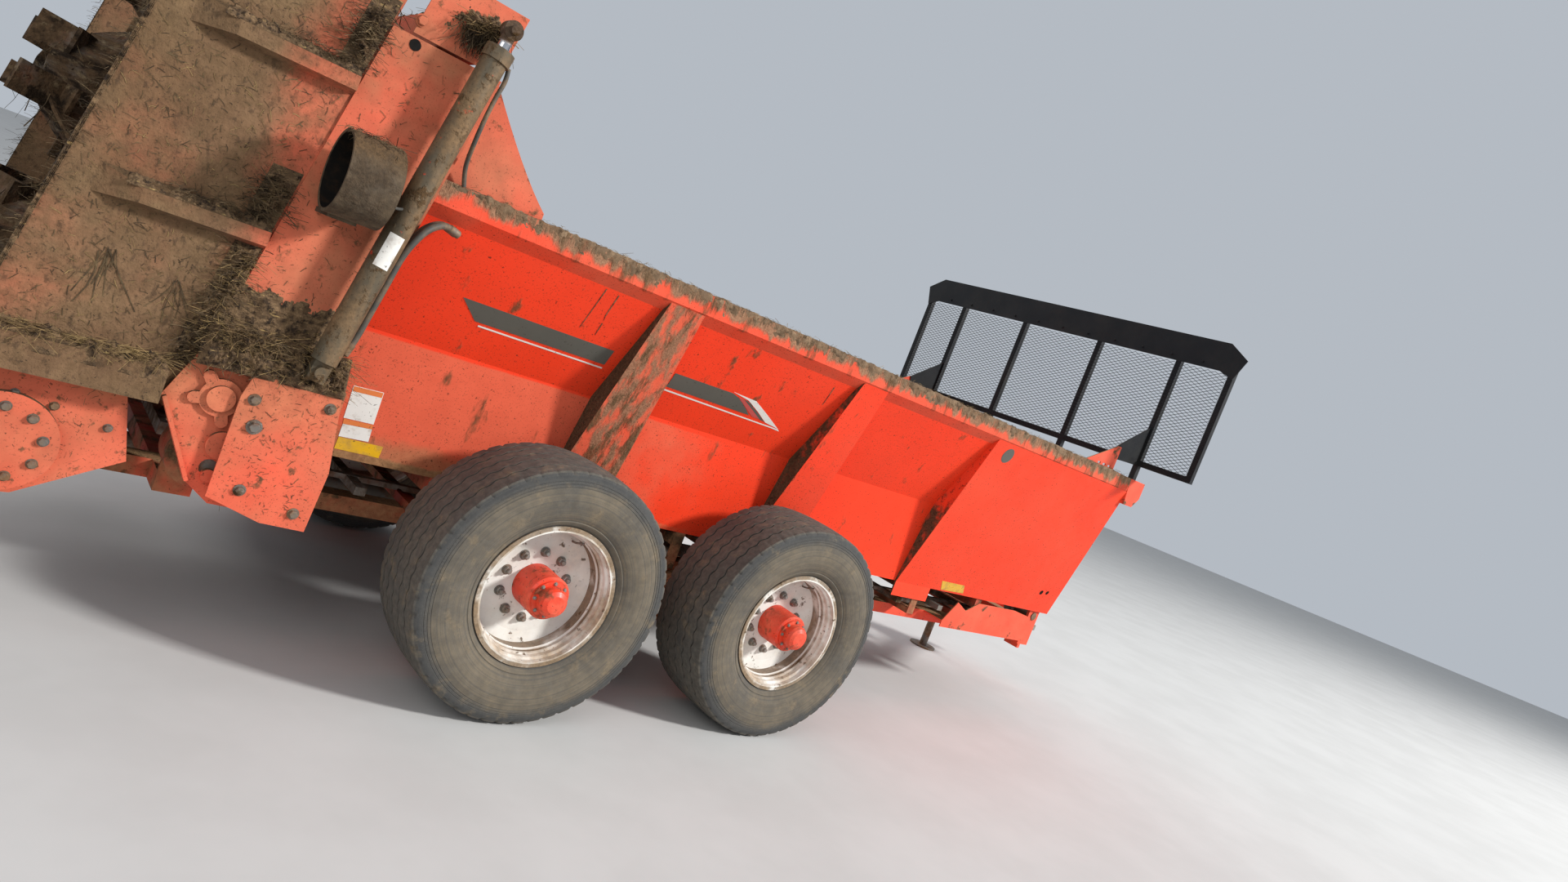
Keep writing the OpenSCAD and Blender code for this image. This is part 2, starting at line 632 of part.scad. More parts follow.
/* Rear columns with the endgate's slots */
column_rear = 2231;
column_low = 870;
flange_half = column_half - 110;
guide_half = column_half - 85;
clip_z = [1350, 1600];
module rear_columns() {
    inner = column_half - plate_t;
    guide = sheet_t / 2 + slide_fit;
    machine(red) both_sides() {
        along_y(inner, column_half) lean_quad(column_rear, column_front, column_low, column_top);
        along_y(flange_half, inner + weld) lean_quad(column_rear, column_rear - plate_t, crease_z - 260, column_top);
        along_y(half_top + 2 * sheet_t, inner + weld) lean_quad(column_front + plate_t, column_front, column_low, column_top);
        intersection() {
            along_x(-sheet_rear, -column_front + column_top * tan(lean)) polygon([
                [half_low + seat, sheet_z], [half_crease + seat, crease_z], [half_top + seat, sheet_top_z],
                [half_top + seat, column_top], [inner + weld, column_top], [inner + weld, sheet_z]]);
            along_y(half_low, column_half) lean_quad(sheet_rear, sheet_rear - plate_t, column_low, column_top);
        }
        for (x0 = [gate_x + guide + plate_t, gate_x - guide]) along_y(guide_half, inner + weld)
            lean_quad(x0, x0 - plate_t, column_low, column_top);
    }
    machine(red) for (z = clip_z) box(lean_x(hose_x, z) - 20, lean_x(hose_x, z) + 20,
        hose_y + hose_d / 2 + seat, -column_half + weld, z - 15, z + 15);
}

/* Wings that close the corner between the rails and the columns */
wing_y = column_half - 40;
wing_t = 6;
wing_foot = 1139;
module corner_wings() {
    foot = rail_top_z + seat;
    edge = [[-wing_foot, foot + 28], [-wing_foot - 131, foot + 133], [lean_x(column_front - seat, column_top), column_top]];
    machine(red) both_sides() along_y(wing_y, wing_y + wing_t) polygon(concat(
        [[lean_x(column_front - seat, foot), foot], [-wing_foot, foot]],
        [for (t = [0:0.125:1]) bend(edge[0], edge[1], edge[2], t)]));
}

/* Endgate with its lift beam, cylinders and rods */
gate_half = column_half - 70;
gate_low = 875;
gate_top = column_top + 10;
gate_rib = [45, 70];
gate_rib_z = [960, 1350, 1740, 2130];
module endgate() {
    face = sheet_t / 2;
    machine(red) {
        along_y(-gate_half, gate_half) lean_quad(gate_x + face, gate_x - face, gate_low, gate_top);
        for (z = gate_rib_z) along_y(-flange_half + 15, flange_half - 15)
            lean_quad(gate_x + face + gate_rib[0], gate_x + face - weld, z, z + gate_rib[1]);
    }
}
eye_z = 2441;
rod_x = 1932;
rod_y = column_half + 90;
lift_h = 140;
cheek_h = 225;
module lift_beam() {
    inner = column_half - plate_t;
    machine(red) {
        along_y(-inner, inner) lean_quad(gate_x + 65, gate_x - 65, gate_top, gate_top + lift_h);
        both_sides() along_y(inner, column_half) lean_quad(column_rear - 60, column_front + 20, gate_top, gate_top + cheek_h);
    }
}
eye_l = eye_z / cos(lean);
barrel_low = 1212;
barrel_top = eye_l - 75;
gland_h = 45;
pin_d = 40;
module lift_cylinders() {
    machine(steel) both_sides() {
        difference() {
            leaning(rod_x, rod_y) {
                translate([0, 0, barrel_low]) cylinder(d = cylinder_d, h = barrel_top - barrel_low);
                translate([0, 0, barrel_top - gland_h]) cylinder(d = cylinder_d + 14, h = gland_h);
                translate([-30, -20, barrel_low - 70]) cube([60, 40, 70 + weld]);
            }
            leaning(rod_x, rod_y) translate([0, 0, barrel_low + 30]) cylinder(d = rod_d + bore_fit, h = barrel_top);
        }
        leaning(rod_x, column_half) translate([0, 0, barrel_low - 35]) rotate([-90, 0, 0])
            cylinder(d = pin_d, h = rod_y - column_half + 40);
    }
}
module lift_rods() {
    machine(steel) both_sides() leaning(rod_x, rod_y) {
        translate([0, 0, barrel_low + 45]) cylinder(d = rod_d, h = eye_l - barrel_low - 45);
        translate([0, -22, eye_l]) rotate([-90, 0, 0]) cylinder(d = rod_d + 21, h = 44);
        translate([0, column_half - rod_y, eye_l]) rotate([-90, 0, 0]) cylinder(d = pin_d - 8, h = rod_y - column_half + 40);
    }
}

/* Beater housing */
housing_rear = 2796;
housing_top = 2590;
skin = column_half - plate_t;
rib_z = [1474, 2032];
rib_h = 90;
rib_out = 50;
ledge_z = 925;
ledge_h = 128;
ledge_out = 56;
cap_h = 75;
base_y = skin - 50;
module housing_side() {
    along_y(skin - plate_t, skin) lean_quad(housing_rear, column_rear + seat, ledge_z, housing_top);
    for (z = rib_z) intersection() {
        along_x(-housing_rear, lean_x(column_rear, z) - slide_fit) polygon([[skin - weld, z], [skin + rib_out, z + 14],
            [skin + rib_out, z + rib_h - 30], [skin - weld, z + rib_h]]);
        translate([0, 0, z]) linear_extrude(rib_h) polygon([[lean_x(housing_rear, z) + 95, skin - weld],
            [lean_x(housing_rear, z) + 210, skin + rib_out], [0, skin + rib_out], [0, skin - weld]]);
    }
    along_x(lean_x(housing_rear, ledge_z), shield_back[0][0] - slide_fit) polygon([
        [base_y, ledge_z], [skin + ledge_out, ledge_z], [skin + ledge_out, ledge_z + ledge_h - 20],
        [skin - weld, ledge_z + ledge_h], [skin - weld, ledge_z + plate_t], [base_y, ledge_z + plate_t]]);
    along_x(lean_x(housing_rear, housing_top - cap_h), lean_x(column_rear, housing_top) - slide_fit) polygon([
        [skin - weld, housing_top - cap_h], [skin + rib_out - 5, housing_top - cap_h + 10],
        [skin + rib_out - 5, housing_top], [skin - weld, housing_top]]);
}
module housing_left() { machine(red) housing_side(); }
module housing_right() { machine(red) mirror([0, 1, 0]) housing_side(); }
stub_d = 60;
beam_inner = skin - plate_t;
top_bearing = 170;
bearing_h = 25;
top_beam = [160, 130];
top_beam_up = 15 + bearing_h;
module housing_beam() {
    machine(red) difference() {
        leaning(beater_x, 0) {
            translate([-top_beam[0] / 2, -beam_inner, beater_top + top_beam_up])
                cube([top_beam[0], 2 * beam_inner, top_beam[1]]);
            for (y = [-1, 1] * beater_y) translate([0, y, beater_top + top_beam_up - bearing_h])
                cylinder(d = top_bearing, h = bearing_h + weld);
        }
        for (y = [-1, 1] * beater_y) leaning(beater_x, y) translate([0, 0, beater_top]) cylinder(d = stub_d + bore_fit, h = 100);
    }
}
gearbox_d = 320;
gearbox_top = 905;
drive_beam_top = 870;
centre_box = [-2400, -2170];
module drive_beam() {
    machine(red) difference() {
        union() {
            leaning(beater_x, 0) {
                translate([-saddle, seat - base_y, saddle_l]) cube([2 * saddle, 2 * (base_y - seat), drive_beam_top - saddle_l]);
                for (y = [-1, 1] * beater_y) translate([0, y, saddle_l]) cylinder(d = gearbox_d, h = gearbox_top - saddle_l);
            }
            box(centre_box[0], centre_box[1], -saddle, saddle, shaft_z - 70, saddle_l + 20);
        }
        for (y = [-1, 1] * beater_y) leaning(beater_x, y) translate([0, 0, saddle_l + 140]) cylinder(d = stub_d + bore_fit, h = 300);
    }
}

/* Panels that close the drive beam's ends, with the round bearing flanges */
flange = [-2469, 695];
flange_d = 300;
flange_t = 25;
base_heel = [60, 570];
base_edge = [[-2540, 528], [-2400, 540], [-2142, 700]];
base_front = -2200;
module base_panels() {
    top = ledge_z - seat;
    heel = [lean_x(housing_rear, top) - base_heel[0], base_heel[1]];
    machine(red) both_sides() {
        along_y(base_y, base_y + plate_t)
            polygon(concat([[base_front, top], [lean_x(housing_rear, top), top], heel], base_edge));
        bar_y(flange[0], flange[1], flange_d, base_y + plate_t - weld, base_y + plate_t + flange_t);
    }
}

/* Driveline under the floor and up to the input shaft on the tongue */
joint_x = 3830;
driveline_d = 76;
joint_d = [110, 70];
input_l = [40, 130];
module driveline() {
    rise = [input_x - input_collar - joint_x, input_z - shaft_z];
    machine(steel) {
        bar_x(centre_box[1], joint_x, 0, shaft_z, driveline_d);
        translate([joint_x, 0, shaft_z]) {
            sphere(d = joint_d[0]);
            rotate([0, 90 - atan2(rise[1], rise[0]), 0]) cylinder(d = driveline_d - 12, h = norm(rise));
        }
        translate([input_x - input_collar, 0, input_z]) sphere(d = joint_d[1]);
        bar_x(input_x - input_collar, input_x + input_l[0], 0, input_z, input_collar);
        bar_x(input_x + input_l[0] - weld, input_x + input_l[1] - weld, 0, input_z, input_d);
    }
}

/* Beaters: a tube on a disc, with two helical flights that carry bolted knives */
paddle = [10, 90];
knife_turn = 51;
knife_l = 150;
knife_h = 100;
knife_t = 16;
knife_base = [14, 140];
flight_t = 12;
flight_edge = 100;
flight_start = 175;
flight_n = 36;
// Turns from the first knife that the flight covers
flight_turns = [-0.45, knife_rows - 0.6] * knife_turn;
knife_z0 = disc_z + flight_start;
knife_step = (beater_top - knife_z0) / knife_rows;
// Section of a flight at an angle: inner and outer edge below, then outer and inner edge above
function flight_ring(a) = let (z = knife_z0 + a / knife_turn * knife_step, r0 = beater_tube / 2 - 12, r1 = beater_r - flight_edge)
    [for (p = [[r0, -1], [r1, -1], [r1, 1], [r0, 1]]) [p[0] * cos(a), p[0] * sin(a), z + p[1] * flight_t / 2]];
module flight() {
    polyhedron([for (i = [0:flight_n]) each flight_ring(flight_turns[0] + (flight_turns[1] - flight_turns[0]) * i / flight_n)],
        concat([[3, 2, 1], [3, 1, 0]],
            [for (i = [0:flight_n - 1], t = [[0, 1, 5], [0, 5, 4], [1, 2, 6], [1, 6, 5], [2, 3, 7], [2, 7, 6], [3, 0, 4], [3, 4, 7]])
                [for (k = t) 4 * i + k]],
            [[4 * flight_n, 4 * flight_n + 1, 4 * flight_n + 2], [4 * flight_n, 4 * flight_n + 2, 4 * flight_n + 3]]));
}
module beater() {
    tube_r = beater_tube / 2;
    translate([0, 0, disc_z - disc_t]) cylinder(r = disc_r, h = disc_t, $fn = 96);
    translate([0, 0, disc_z - weld]) cylinder(r = tube_r, h = beater_top - disc_z + weld);
    translate([0, 0, disc_z - 75]) cylinder(d = stub_d, h = 75);
    translate([0, 0, beater_top - weld]) cylinder(d = stub_d, h = 90);
    for (a = [0:90:270]) rotate([0, 0, a]) translate([tube_r - 5, -paddle[0] / 2, disc_z - weld])
        cube([disc_r - tube_r - 5, paddle[0], paddle[1]]);
    for (s = [0, 180]) rotate([0, 0, s]) {
        flight();
        for (k = [0:knife_rows - 1]) rotate([0, 0, k * knife_turn]) translate([beater_r - knife_l, 0, knife_z0 + k * knife_step]) {
            translate([0, -knife_base[1] / 2, -knife_h / 2]) cube([knife_base[0], knife_base[1], knife_h]);
            translate([0, -knife_t / 2, -knife_h / 2]) cube([knife_l, knife_t, knife_h]);
        }
    }
}
module beater_left() { machine(steel) leaning(beater_x, beater_y) beater(); }
module beater_right() { machine(steel) leaning(beater_x, -beater_y) mirror([0, 1, 0]) beater(); }

/* Apron drive on the right, and the shields over both ends of its shaft */
gear_y = [-column_half + 100, -column_half + 240];
motor_d = 110;
module apron_drive() {
    machine(red) difference() {
        union() {
            bar_y(apron_rear, apron_z, 2 * motor_d, gear_y[0], gear_y[1]);
            bar_x(apron_rear, apron_rear + 290, gear_y[0] / 2 + gear_y[1] / 2, apron_z, motor_d);
        }
        bar_y(apron_rear, apron_z, shaft_d + bore_fit, gear_y[0] - weld, gear_y[1] + weld);
    }
}
shield_y = column_half + 50;
shield_back = [[-2124, 949], [-1990, 696], [-1900, 630], [-1600, 620], [-1600, 1095], [-2060, 1110]];
shield_outer = [[-1921, 1012], [-1923, 667], [-1744, 609], [-1596, 603], [-1583, 820], [-1627, 1095], [-1900, 1100]];
shield_bolts = [[-1880, 700], [-1650, 660], [-1650, 1040], [-1870, 1040]];
tensioner = [-1966, 982];
tensioner_d = [124, 84];
tensioner_t = [14, 26];
ear_d = 38;
ears = [[-2038, 966], [-2014, 1043], [-1942, 906]];
rings = [[-1917, 829, 94], [-1926, 723, 44]];
fold = [6, 26];
// Quad from one point to another, with a half width
function link(a, b, w) = let (n = w * [b[1] - a[1], a[0] - b[0]] / norm(b - a)) [a - n, a + n, b + n, b - n];
module drive_shields() {
    machine(red) both_sides() {
        difference() {
            along_y(column_half + seat, column_half + plate_t) polygon(shield_back);
            bar_y(apron_rear, apron_z, shaft_d + bore_fit, column_half, column_half + 2 * plate_t);
        }
        along_y(shield_y, shield_y + 6) polygon(shield_outer);
        for (p = shield_bolts) bar_y(p[0], p[1], 24, column_half + 2, shield_y + weld);
        // Folded rear edge of the inner plate
        along_y(column_half + seat, column_half + fold[1]) translate([fold[0] + 2, 0])
            polygon(link(shield_back[0], shield_back[1], fold[0]));
        // Bearing with its ears, and two rings below it
        along_y(column_half + 2, column_half + plate_t + tensioner_t[0]) {
            translate(tensioner) circle(d = tensioner_d[0]);
            for (e = ears) {
                translate(e) circle(d = ear_d);
                polygon(link(tensioner, e, ear_d / 2));
            }
        }
        bar_y(tensioner[0], tensioner[1], tensioner_d[1], column_half + 2, column_half + plate_t + tensioner_t[1]);
        for (r = rings) bar_y(r[0], r[1], r[2], column_half + 2, column_half + plate_t + tensioner_t[0]);
    }
}

/* Tail lamps: round guards that are open to the rear */
lamp = [-1905, column_half + 150, 1791];
lamp_d = 270;
lamp_l = 165;
module tail_lamps() {
    machine(black) both_sides() {
        difference() {
            bar_x(lamp[0], lamp[0] + lamp_l, lamp[1], lamp[2], lamp_d);
            bar_x(lamp[0] - weld, lamp[0] + lamp_l - 30, lamp[1], lamp[2], lamp_d - 20);
        }
        box(lamp[0] + 20, lamp[0] + 110, column_half, lamp[1], lamp[2] - lamp_d / 2 - 10, lamp[2] - lamp_d / 2 + 6);
    }
}
module lamp_lenses() {
    machine(lens_red) both_sides() bar_x(lamp[0] + lamp_l - 80, lamp[0] + lamp_l - 30, lamp[1], lamp[2], 180);
}

/* Hoses clipped along the right rear column */
hose_x = 1867;
hose_y = -column_half - 25;
hose_d = 26;
hose_pitch = hose_d + 2;
// X ahead of the hoses' leaning line, Y from it, Z
hose_path = [[145, 50, 1745], [85, 30, 1755], [38, 10, 1725], [12, 0, 1670], [0, 0, 1600],
    [0, 0, 1500], [0, 0, 1400], [0, 0, 1300], [-10, -10, 1235]];
function unit(v) = v / norm(v);
function heading(p, i) = unit(p[min(i + 1, len(p) - 1)] - p[max(i - 1, 0)]);
function ring(c, t, r, n) = let (u = unit(cross(t, [0, 1, 0.01])), v = cross(t, u))
    [for (k = [0:n - 1]) c + r * (cos(360 * k / n) * u + sin(360 * k / n) * v)];
module tube(p, r, n = 8) {
    m = len(p);
    polyhedron([for (i = [0:m - 1]) each ring(p[i], heading(p, i), r, n)], concat(
        [[for (k = [0:n - 1]) k]],
        [for (i = [0:m - 2], k = [0:n - 1]) [i * n + k, (i + 1) * n + k, (i + 1) * n + (k + 1) % n, i * n + (k + 1) % n]],
        [[for (k = [n - 1:-1:0]) (m - 1) * n + k]]));
}
module hoses() {
    for (dy = [0, -hose_pitch]) machine(black)
        tube([for (p = hose_path) [lean_x(hose_x, p[2]) + p[0], hose_y + p[1] + dy, p[2]]], hose_d / 2);
}

frame_left();
frame_right();
frame_bars();
cross_members();
tongue();
hitch_eye();
jack_tube();
jack_leg();
floor();
side_left();
side_right();
stakes_left();
stakes_right();
top_rails();
front_panel();
front_beam();
corner_gussets();
guard_frame();
guard_mesh();
apron();
apron_shafts();
apron_drive();
drive_shields();
pivot_stubs();
walking_beams();
spindles();
tyre_fl();
tyre_fr();
tyre_rl();
tyre_rr();
rim_fl();
rim_fr();
rim_rl();
rim_rr();
hub_fl();
hub_fr();
hub_rl();
hub_rr();
rear_columns();
corner_wings();
housing_left();
housing_right();
housing_beam();
drive_beam();
base_panels();
driveline();
beater_left();
beater_right();
endgate();
lift_beam();
lift_cylinders();
lift_rods();
tail_lamps();
lamp_lenses();
hoses();
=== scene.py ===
"""Looks of a box manure spreader: finishes, tyres, guard mesh, hoses, stripes and dried dirt.

Places are measured from the middle of the tandem axle, in metres, with X forward to the hitch,
Y to the left and Z up from the ground. Machine.at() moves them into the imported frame.
"""

import logging
import math
import random
from dataclasses import dataclass
from enum import Enum
from typing import Callable, Dict, List, Optional, Sequence, Tuple

import bmesh
import bpy
from mathutils import Matrix, Vector, noise

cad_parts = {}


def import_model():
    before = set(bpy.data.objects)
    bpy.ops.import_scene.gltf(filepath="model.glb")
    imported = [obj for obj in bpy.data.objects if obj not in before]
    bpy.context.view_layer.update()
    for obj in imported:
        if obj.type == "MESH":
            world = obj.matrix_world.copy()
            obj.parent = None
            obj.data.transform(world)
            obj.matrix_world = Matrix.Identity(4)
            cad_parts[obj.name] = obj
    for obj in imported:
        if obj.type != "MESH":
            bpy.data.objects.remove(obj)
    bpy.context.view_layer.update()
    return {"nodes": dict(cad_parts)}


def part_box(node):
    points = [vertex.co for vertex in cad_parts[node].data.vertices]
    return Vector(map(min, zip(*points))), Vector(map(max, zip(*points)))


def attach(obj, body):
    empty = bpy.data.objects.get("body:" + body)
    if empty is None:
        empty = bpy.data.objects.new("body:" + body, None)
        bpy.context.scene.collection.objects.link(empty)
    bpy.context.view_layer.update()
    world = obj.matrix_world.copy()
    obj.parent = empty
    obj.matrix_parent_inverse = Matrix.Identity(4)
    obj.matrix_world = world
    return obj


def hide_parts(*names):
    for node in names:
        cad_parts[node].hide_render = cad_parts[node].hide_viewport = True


Spot = Tuple[float, float, float]
Pair = Tuple[float, float]
Outline = Tuple[Pair, ...]
Socket = bpy.types.NodeSocket
LOG = logging.getLogger("spreader")
WHEELS = ("fl", "fr", "rl", "rr")
TRACE = "trace"
BEATERS = (("beater_left", "beater_l"), ("beater_right", "beater_r"))
MID_X = -0.94333
HALF_BASE = 0.676
AXLE_Z = 0.545
DUSTY = 0.92
NOISE_TOP = 0.72
NOISE_SPAN = 0.44
PULL = 0.8
CRUMBS = 90.0
COAT_ROUGHNESS = 0.2
UP = Vector((0, 0, 1))

CLEAN_RED: Spot = (0.86, 0.046, 0.012)
SALMON: Spot = (0.60, 0.150, 0.078)
TAN: Spot = (0.27, 0.155, 0.070)
OLIVE: Spot = (0.190, 0.128, 0.060)
CAKE: Spot = (0.105, 0.060, 0.026)
DARK: Spot = (0.028, 0.016, 0.009)
STRAW: Spot = (0.36, 0.24, 0.095)
RUST: Spot = (0.20, 0.065, 0.022)
LEAF: Spot = (0.105, 0.062, 0.032)


class Side(Enum):
    """The two sides of the machine, with the sign of Y on each."""

    LEFT = 1
    RIGHT = -1

    @property
    def out(self) -> Vector:
        """The way out of the machine."""
        return Vector((0, self.value, 0))

    def label(self, name: str) -> str:
        """The name of a piece on this side."""
        return f"{name}_{self.name.lower()}"


class Where(Enum):
    """The faces on which a film gathers: dust, dirt and wear, and painted shade on rear faces, in wells and in a
    tyre's grooves.
    """

    ALL = "all over"
    TOPS = "faces that look up"
    REAR_FACES = "faces that look back"
    WELLS = "faces that don't look out to a side"
    GROOVES = "a tyre's grooves"
    RINGS = "rings round a tyre"


# Normal axis and ramp of the films that follow which way a face looks; the rear-face films paint shade as well as
# mud.
FACING = {Where.TOPS: (2, 0.25, 0.75), Where.REAR_FACES: (0, -0.3, -0.7)}
WELL_SIDES = (0.85, 0.5)


class Axis(Enum):
    """What a film's limit measures: each is also a field of Layer."""

    Z = "z"
    X = "x"
    WHEEL = "wheel"
    WALL = "wall"
    BEAD = "bead"


@dataclass(frozen=True)
class Machine:
    """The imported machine, with the sizes that several of its pieces share."""

    mid_x: float
    lean: float = math.radians(9.5)
    rail_top_z: float = 1.907
    rail_half: float = 1.093
    rail_w: float = 0.090

    @classmethod
    def packed(cls) -> "Machine":
        """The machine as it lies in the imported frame."""
        ends = [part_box("tyre_fl"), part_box("tyre_rl")]
        return cls(sum(low.x + high.x for low, high in ends) / 4)

    def at(self, x: float, y: float, z: float) -> Vector:
        """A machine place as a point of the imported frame."""
        return Vector((x + self.mid_x, y, z))

    def on(self, side: Side, x: float, y: float, z: float) -> Vector:
        """A place on one side, with Y counted outwards."""
        return self.at(x, side.value * y, z)


def turns(count: int, start: float = 0.0) -> List[Pair]:
    """Cosine and sine of equal steps round a circle."""
    return [(math.cos(a), math.sin(a)) for a in (math.tau * (k + start) / count for k in range(count))]


def placed(name: str, data: object) -> bpy.types.Object:
    """A new object of the scene.

    Args:
        name: Its name.
        data: The mesh, camera or lamp that it shows.

    Returns:
        The object.
    """
    made = bpy.data.objects.new(name, data)
    bpy.context.scene.collection.objects.link(made)
    return made


class Graph:
    """Adds shader nodes to one material and joins them."""

    def __init__(self, name: str) -> None:
        """Makes the material and its coordinates.

        Args:
            name: The material's name.
        """
        self.material = bpy.data.materials.new(name)
        self.material.use_nodes = True
        self.tree = self.material.node_tree
        self.bsdf = self.tree.nodes["Principled BSDF"]
        self.place = self.node("TexCoord", {}).outputs["Object"]
        self.normal = self.node("NewGeometry", {}).outputs["Normal"]
        self.trace = self.node("Attribute", {}, attribute_name=TRACE).outputs["Vector"]
        self.seed = 0

    def feed(self, node: bpy.types.Node, inputs: Dict[object, object]) -> None:
        """Links each input of a node to a value, or sets the value on it.

        Args:
            node: The node whose inputs are set.
            inputs: A value or socket for each input, by its name or place.
        """
        for key, value in inputs.items():
            if isinstance(value, Socket):
                self.tree.links.new(value, node.inputs[key])
            else:
                node.inputs[key].default_value = value

    def node(self, kind: str, inputs: Dict[object, object], **settings: object) -> bpy.types.Node:
        """Adds a shader node with its settings and inputs.

        Args:
            kind: The node's type, without its prefix.
            inputs: A value or socket for each input, by its name or place.
            settings: The node's own settings by name.

        Returns:
            The node.
        """
        node = self.tree.nodes.new("ShaderNode" + kind)
        for name, value in settings.items():
            setattr(node, name, value)
        self.feed(node, inputs)
        return node

    def math(self, operation: str, a: object, b: object = 0.0) -> Socket:
        """The result of a Math node on two values."""
        return self.node("Math", {0: a, 1: b}, operation=operation).outputs[0]

    def ramp(self, value: object, low: float, high: float) -> Socket:
        """Value as a smooth step, from 0 at low to 1 at high.

        Args:
            value: The number or socket that it steps on.
            low: Where the step is 0.
            high: Where the step is 1.

        Returns:
            The step's socket.
        """
        ends = (low, high, 0.0, 1.0) if low <= high else (high, low, 1.0, 0.0)
        inputs = {"Value": value, **dict(zip(("From Min", "From Max", "To Min", "To Max"), ends))}
        return self.node("MapRange", inputs, interpolation_type="SMOOTHSTEP").outputs["Result"]

    def axis(self, vector: Socket, index: int) -> Socket:
        """One part of a vector."""
        return self.node("SeparateXYZ", {0: vector}).outputs[index]

    def noise(self, scale: float, stretch: Spot = (1, 1, 1), detail: float = 4.0,
              place: Optional[Socket] = None) -> Socket:
        """A noise of its own over the object.

        Args:
            scale: Cells in a metre.
            stretch: How much finer the cells are along each axis.
            detail: Octaves.
            place: The vector that it lies over, or None for the object's own.

        Returns:
            The noise, mostly between 0.3 and 0.7.
        """
        self.seed += 1
        spread = self.node("Mapping", {"Vector": place or self.place, "Scale": stretch,
                                       "Location": tuple(self.seed * k for k in (3.7, -2.3, 1.9))})
        return self.node("TexNoise", {"Vector": spread.outputs[0], "Scale": scale, "Detail": detail,
                                      "Roughness": 0.6}).outputs[0]

    def mix(self, factor: object, *colours: object) -> Socket:
        """The first colour blended towards the second by a factor."""
        a, b = ((*c, 1) if isinstance(c, tuple) else c for c in colours)
        return self.node("Mix", {0: factor, 6: a, 7: b}, data_type="RGBA").outputs[2]

    def blend(self, factor: object, a: object, b: float) -> Socket:
        """Number a blended towards number b by a factor."""
        return self.node("Mix", {0: factor, 2: a, 3: b}).outputs[0]

    def tone(self, colour: Spot, shade: float, scale: float, low: float) -> Socket:
        """A colour that wanders by a share of itself.

        Args:
            colour: The colour in the middle.
            shade: The share by which it wanders.
            scale: Cells of its noise in a metre.
            low: Where its noise begins to lighten it.

        Returns:
            The colour's socket.
        """
        dark = tuple(c * (1 - shade) for c in colour)
        light = tuple(min(1.0, c * (1 + shade)) for c in colour)
        return self.mix(self.ramp(self.noise(scale), low, 1 - low), dark, light)


@dataclass(frozen=True)
class Layer:
    """One film that lies over a finish: dust, dirt or wear, with painted shade in the films on rear faces, in wells
    and in grooves.

    Cover is the share of the surface from 0 to 1, scale the cells in a metre, and edge the softness
    of its border. Thick is in metres, and vary is how far its colour wanders. A limit gives where
    the film is whole and where it ends: z up from the ground, x forward from the tandem, wheel out
    from the nearest wheel's centre, wall and bead out along a tyre's wall.
    """

    colour: Spot
    cover: float
    scale: float
    edge: float
    strength: float = 1.0
    thick: float = 0.0
    vary: float = 0.25
    stretch: Spot = (1, 1, 1)
    where: Where = Where.ALL
    z: Optional[Pair] = None
    x: Optional[Pair] = None
    wheel: Optional[Pair] = None
    wall: Optional[Pair] = None
    bead: Optional[Pair] = None

    def distance(self, graph: Graph, axis: Axis) -> Socket:
        """What a limit measures, at each point of the surface.

        Args:
            graph: The material's graph.
            axis: What is measured.

        Returns:
            The distance's socket.
        """
        if axis in (Axis.WALL, Axis.BEAD):
            return graph.axis(graph.trace, 1)
        if axis is Axis.Z:
            return graph.axis(graph.place, 2)
        ahead = graph.math("SUBTRACT", graph.axis(graph.place, 0), MID_X)
        if axis is Axis.X:
            return ahead
        dx = graph.math("SUBTRACT", graph.math("ABSOLUTE", ahead), HALF_BASE)
        dz = graph.math("SUBTRACT", graph.axis(graph.place, 2), AXLE_Z)
        return graph.math("SQRT", graph.math("ADD", *[graph.math("MULTIPLY", d, d) for d in (dx, dz)]))

    def mask(self, graph: Graph) -> Socket:
        """Where the film lies, from 0 to 1.

        Args:
            graph: The material's graph.

        Returns:
            The mask's socket.
        """
        rings = graph.trace if self.where is Where.RINGS else None
        value = graph.noise(self.scale, self.stretch, place=rings)
        for axis in Axis:
            if getattr(self, axis.value):
                whole, end = getattr(self, axis.value)
                pull = graph.math("SUBTRACT", graph.ramp(self.distance(graph, axis), end, whole), 1.0)
                value = graph.math("ADD", value, graph.math("MULTIPLY", pull, PULL))
        threshold = NOISE_TOP - NOISE_SPAN * self.cover
        mask = graph.ramp(value, threshold - self.edge, threshold + self.edge)
        if self.where in FACING:
            axis, start, end = FACING[self.where]
            mask = graph.math("MULTIPLY", mask, graph.ramp(graph.axis(graph.normal, axis), start, end))
        if self.where is Where.WELLS:
            side = graph.math("ABSOLUTE", graph.axis(graph.normal, 1))
            mask = graph.math("MULTIPLY", mask, graph.ramp(side, *WELL_SIDES))
        if self.where is Where.GROOVES:
            mask = graph.math("MULTIPLY", mask, graph.axis(graph.trace, 0))
        return graph.math("MULTIPLY", mask, self.strength)


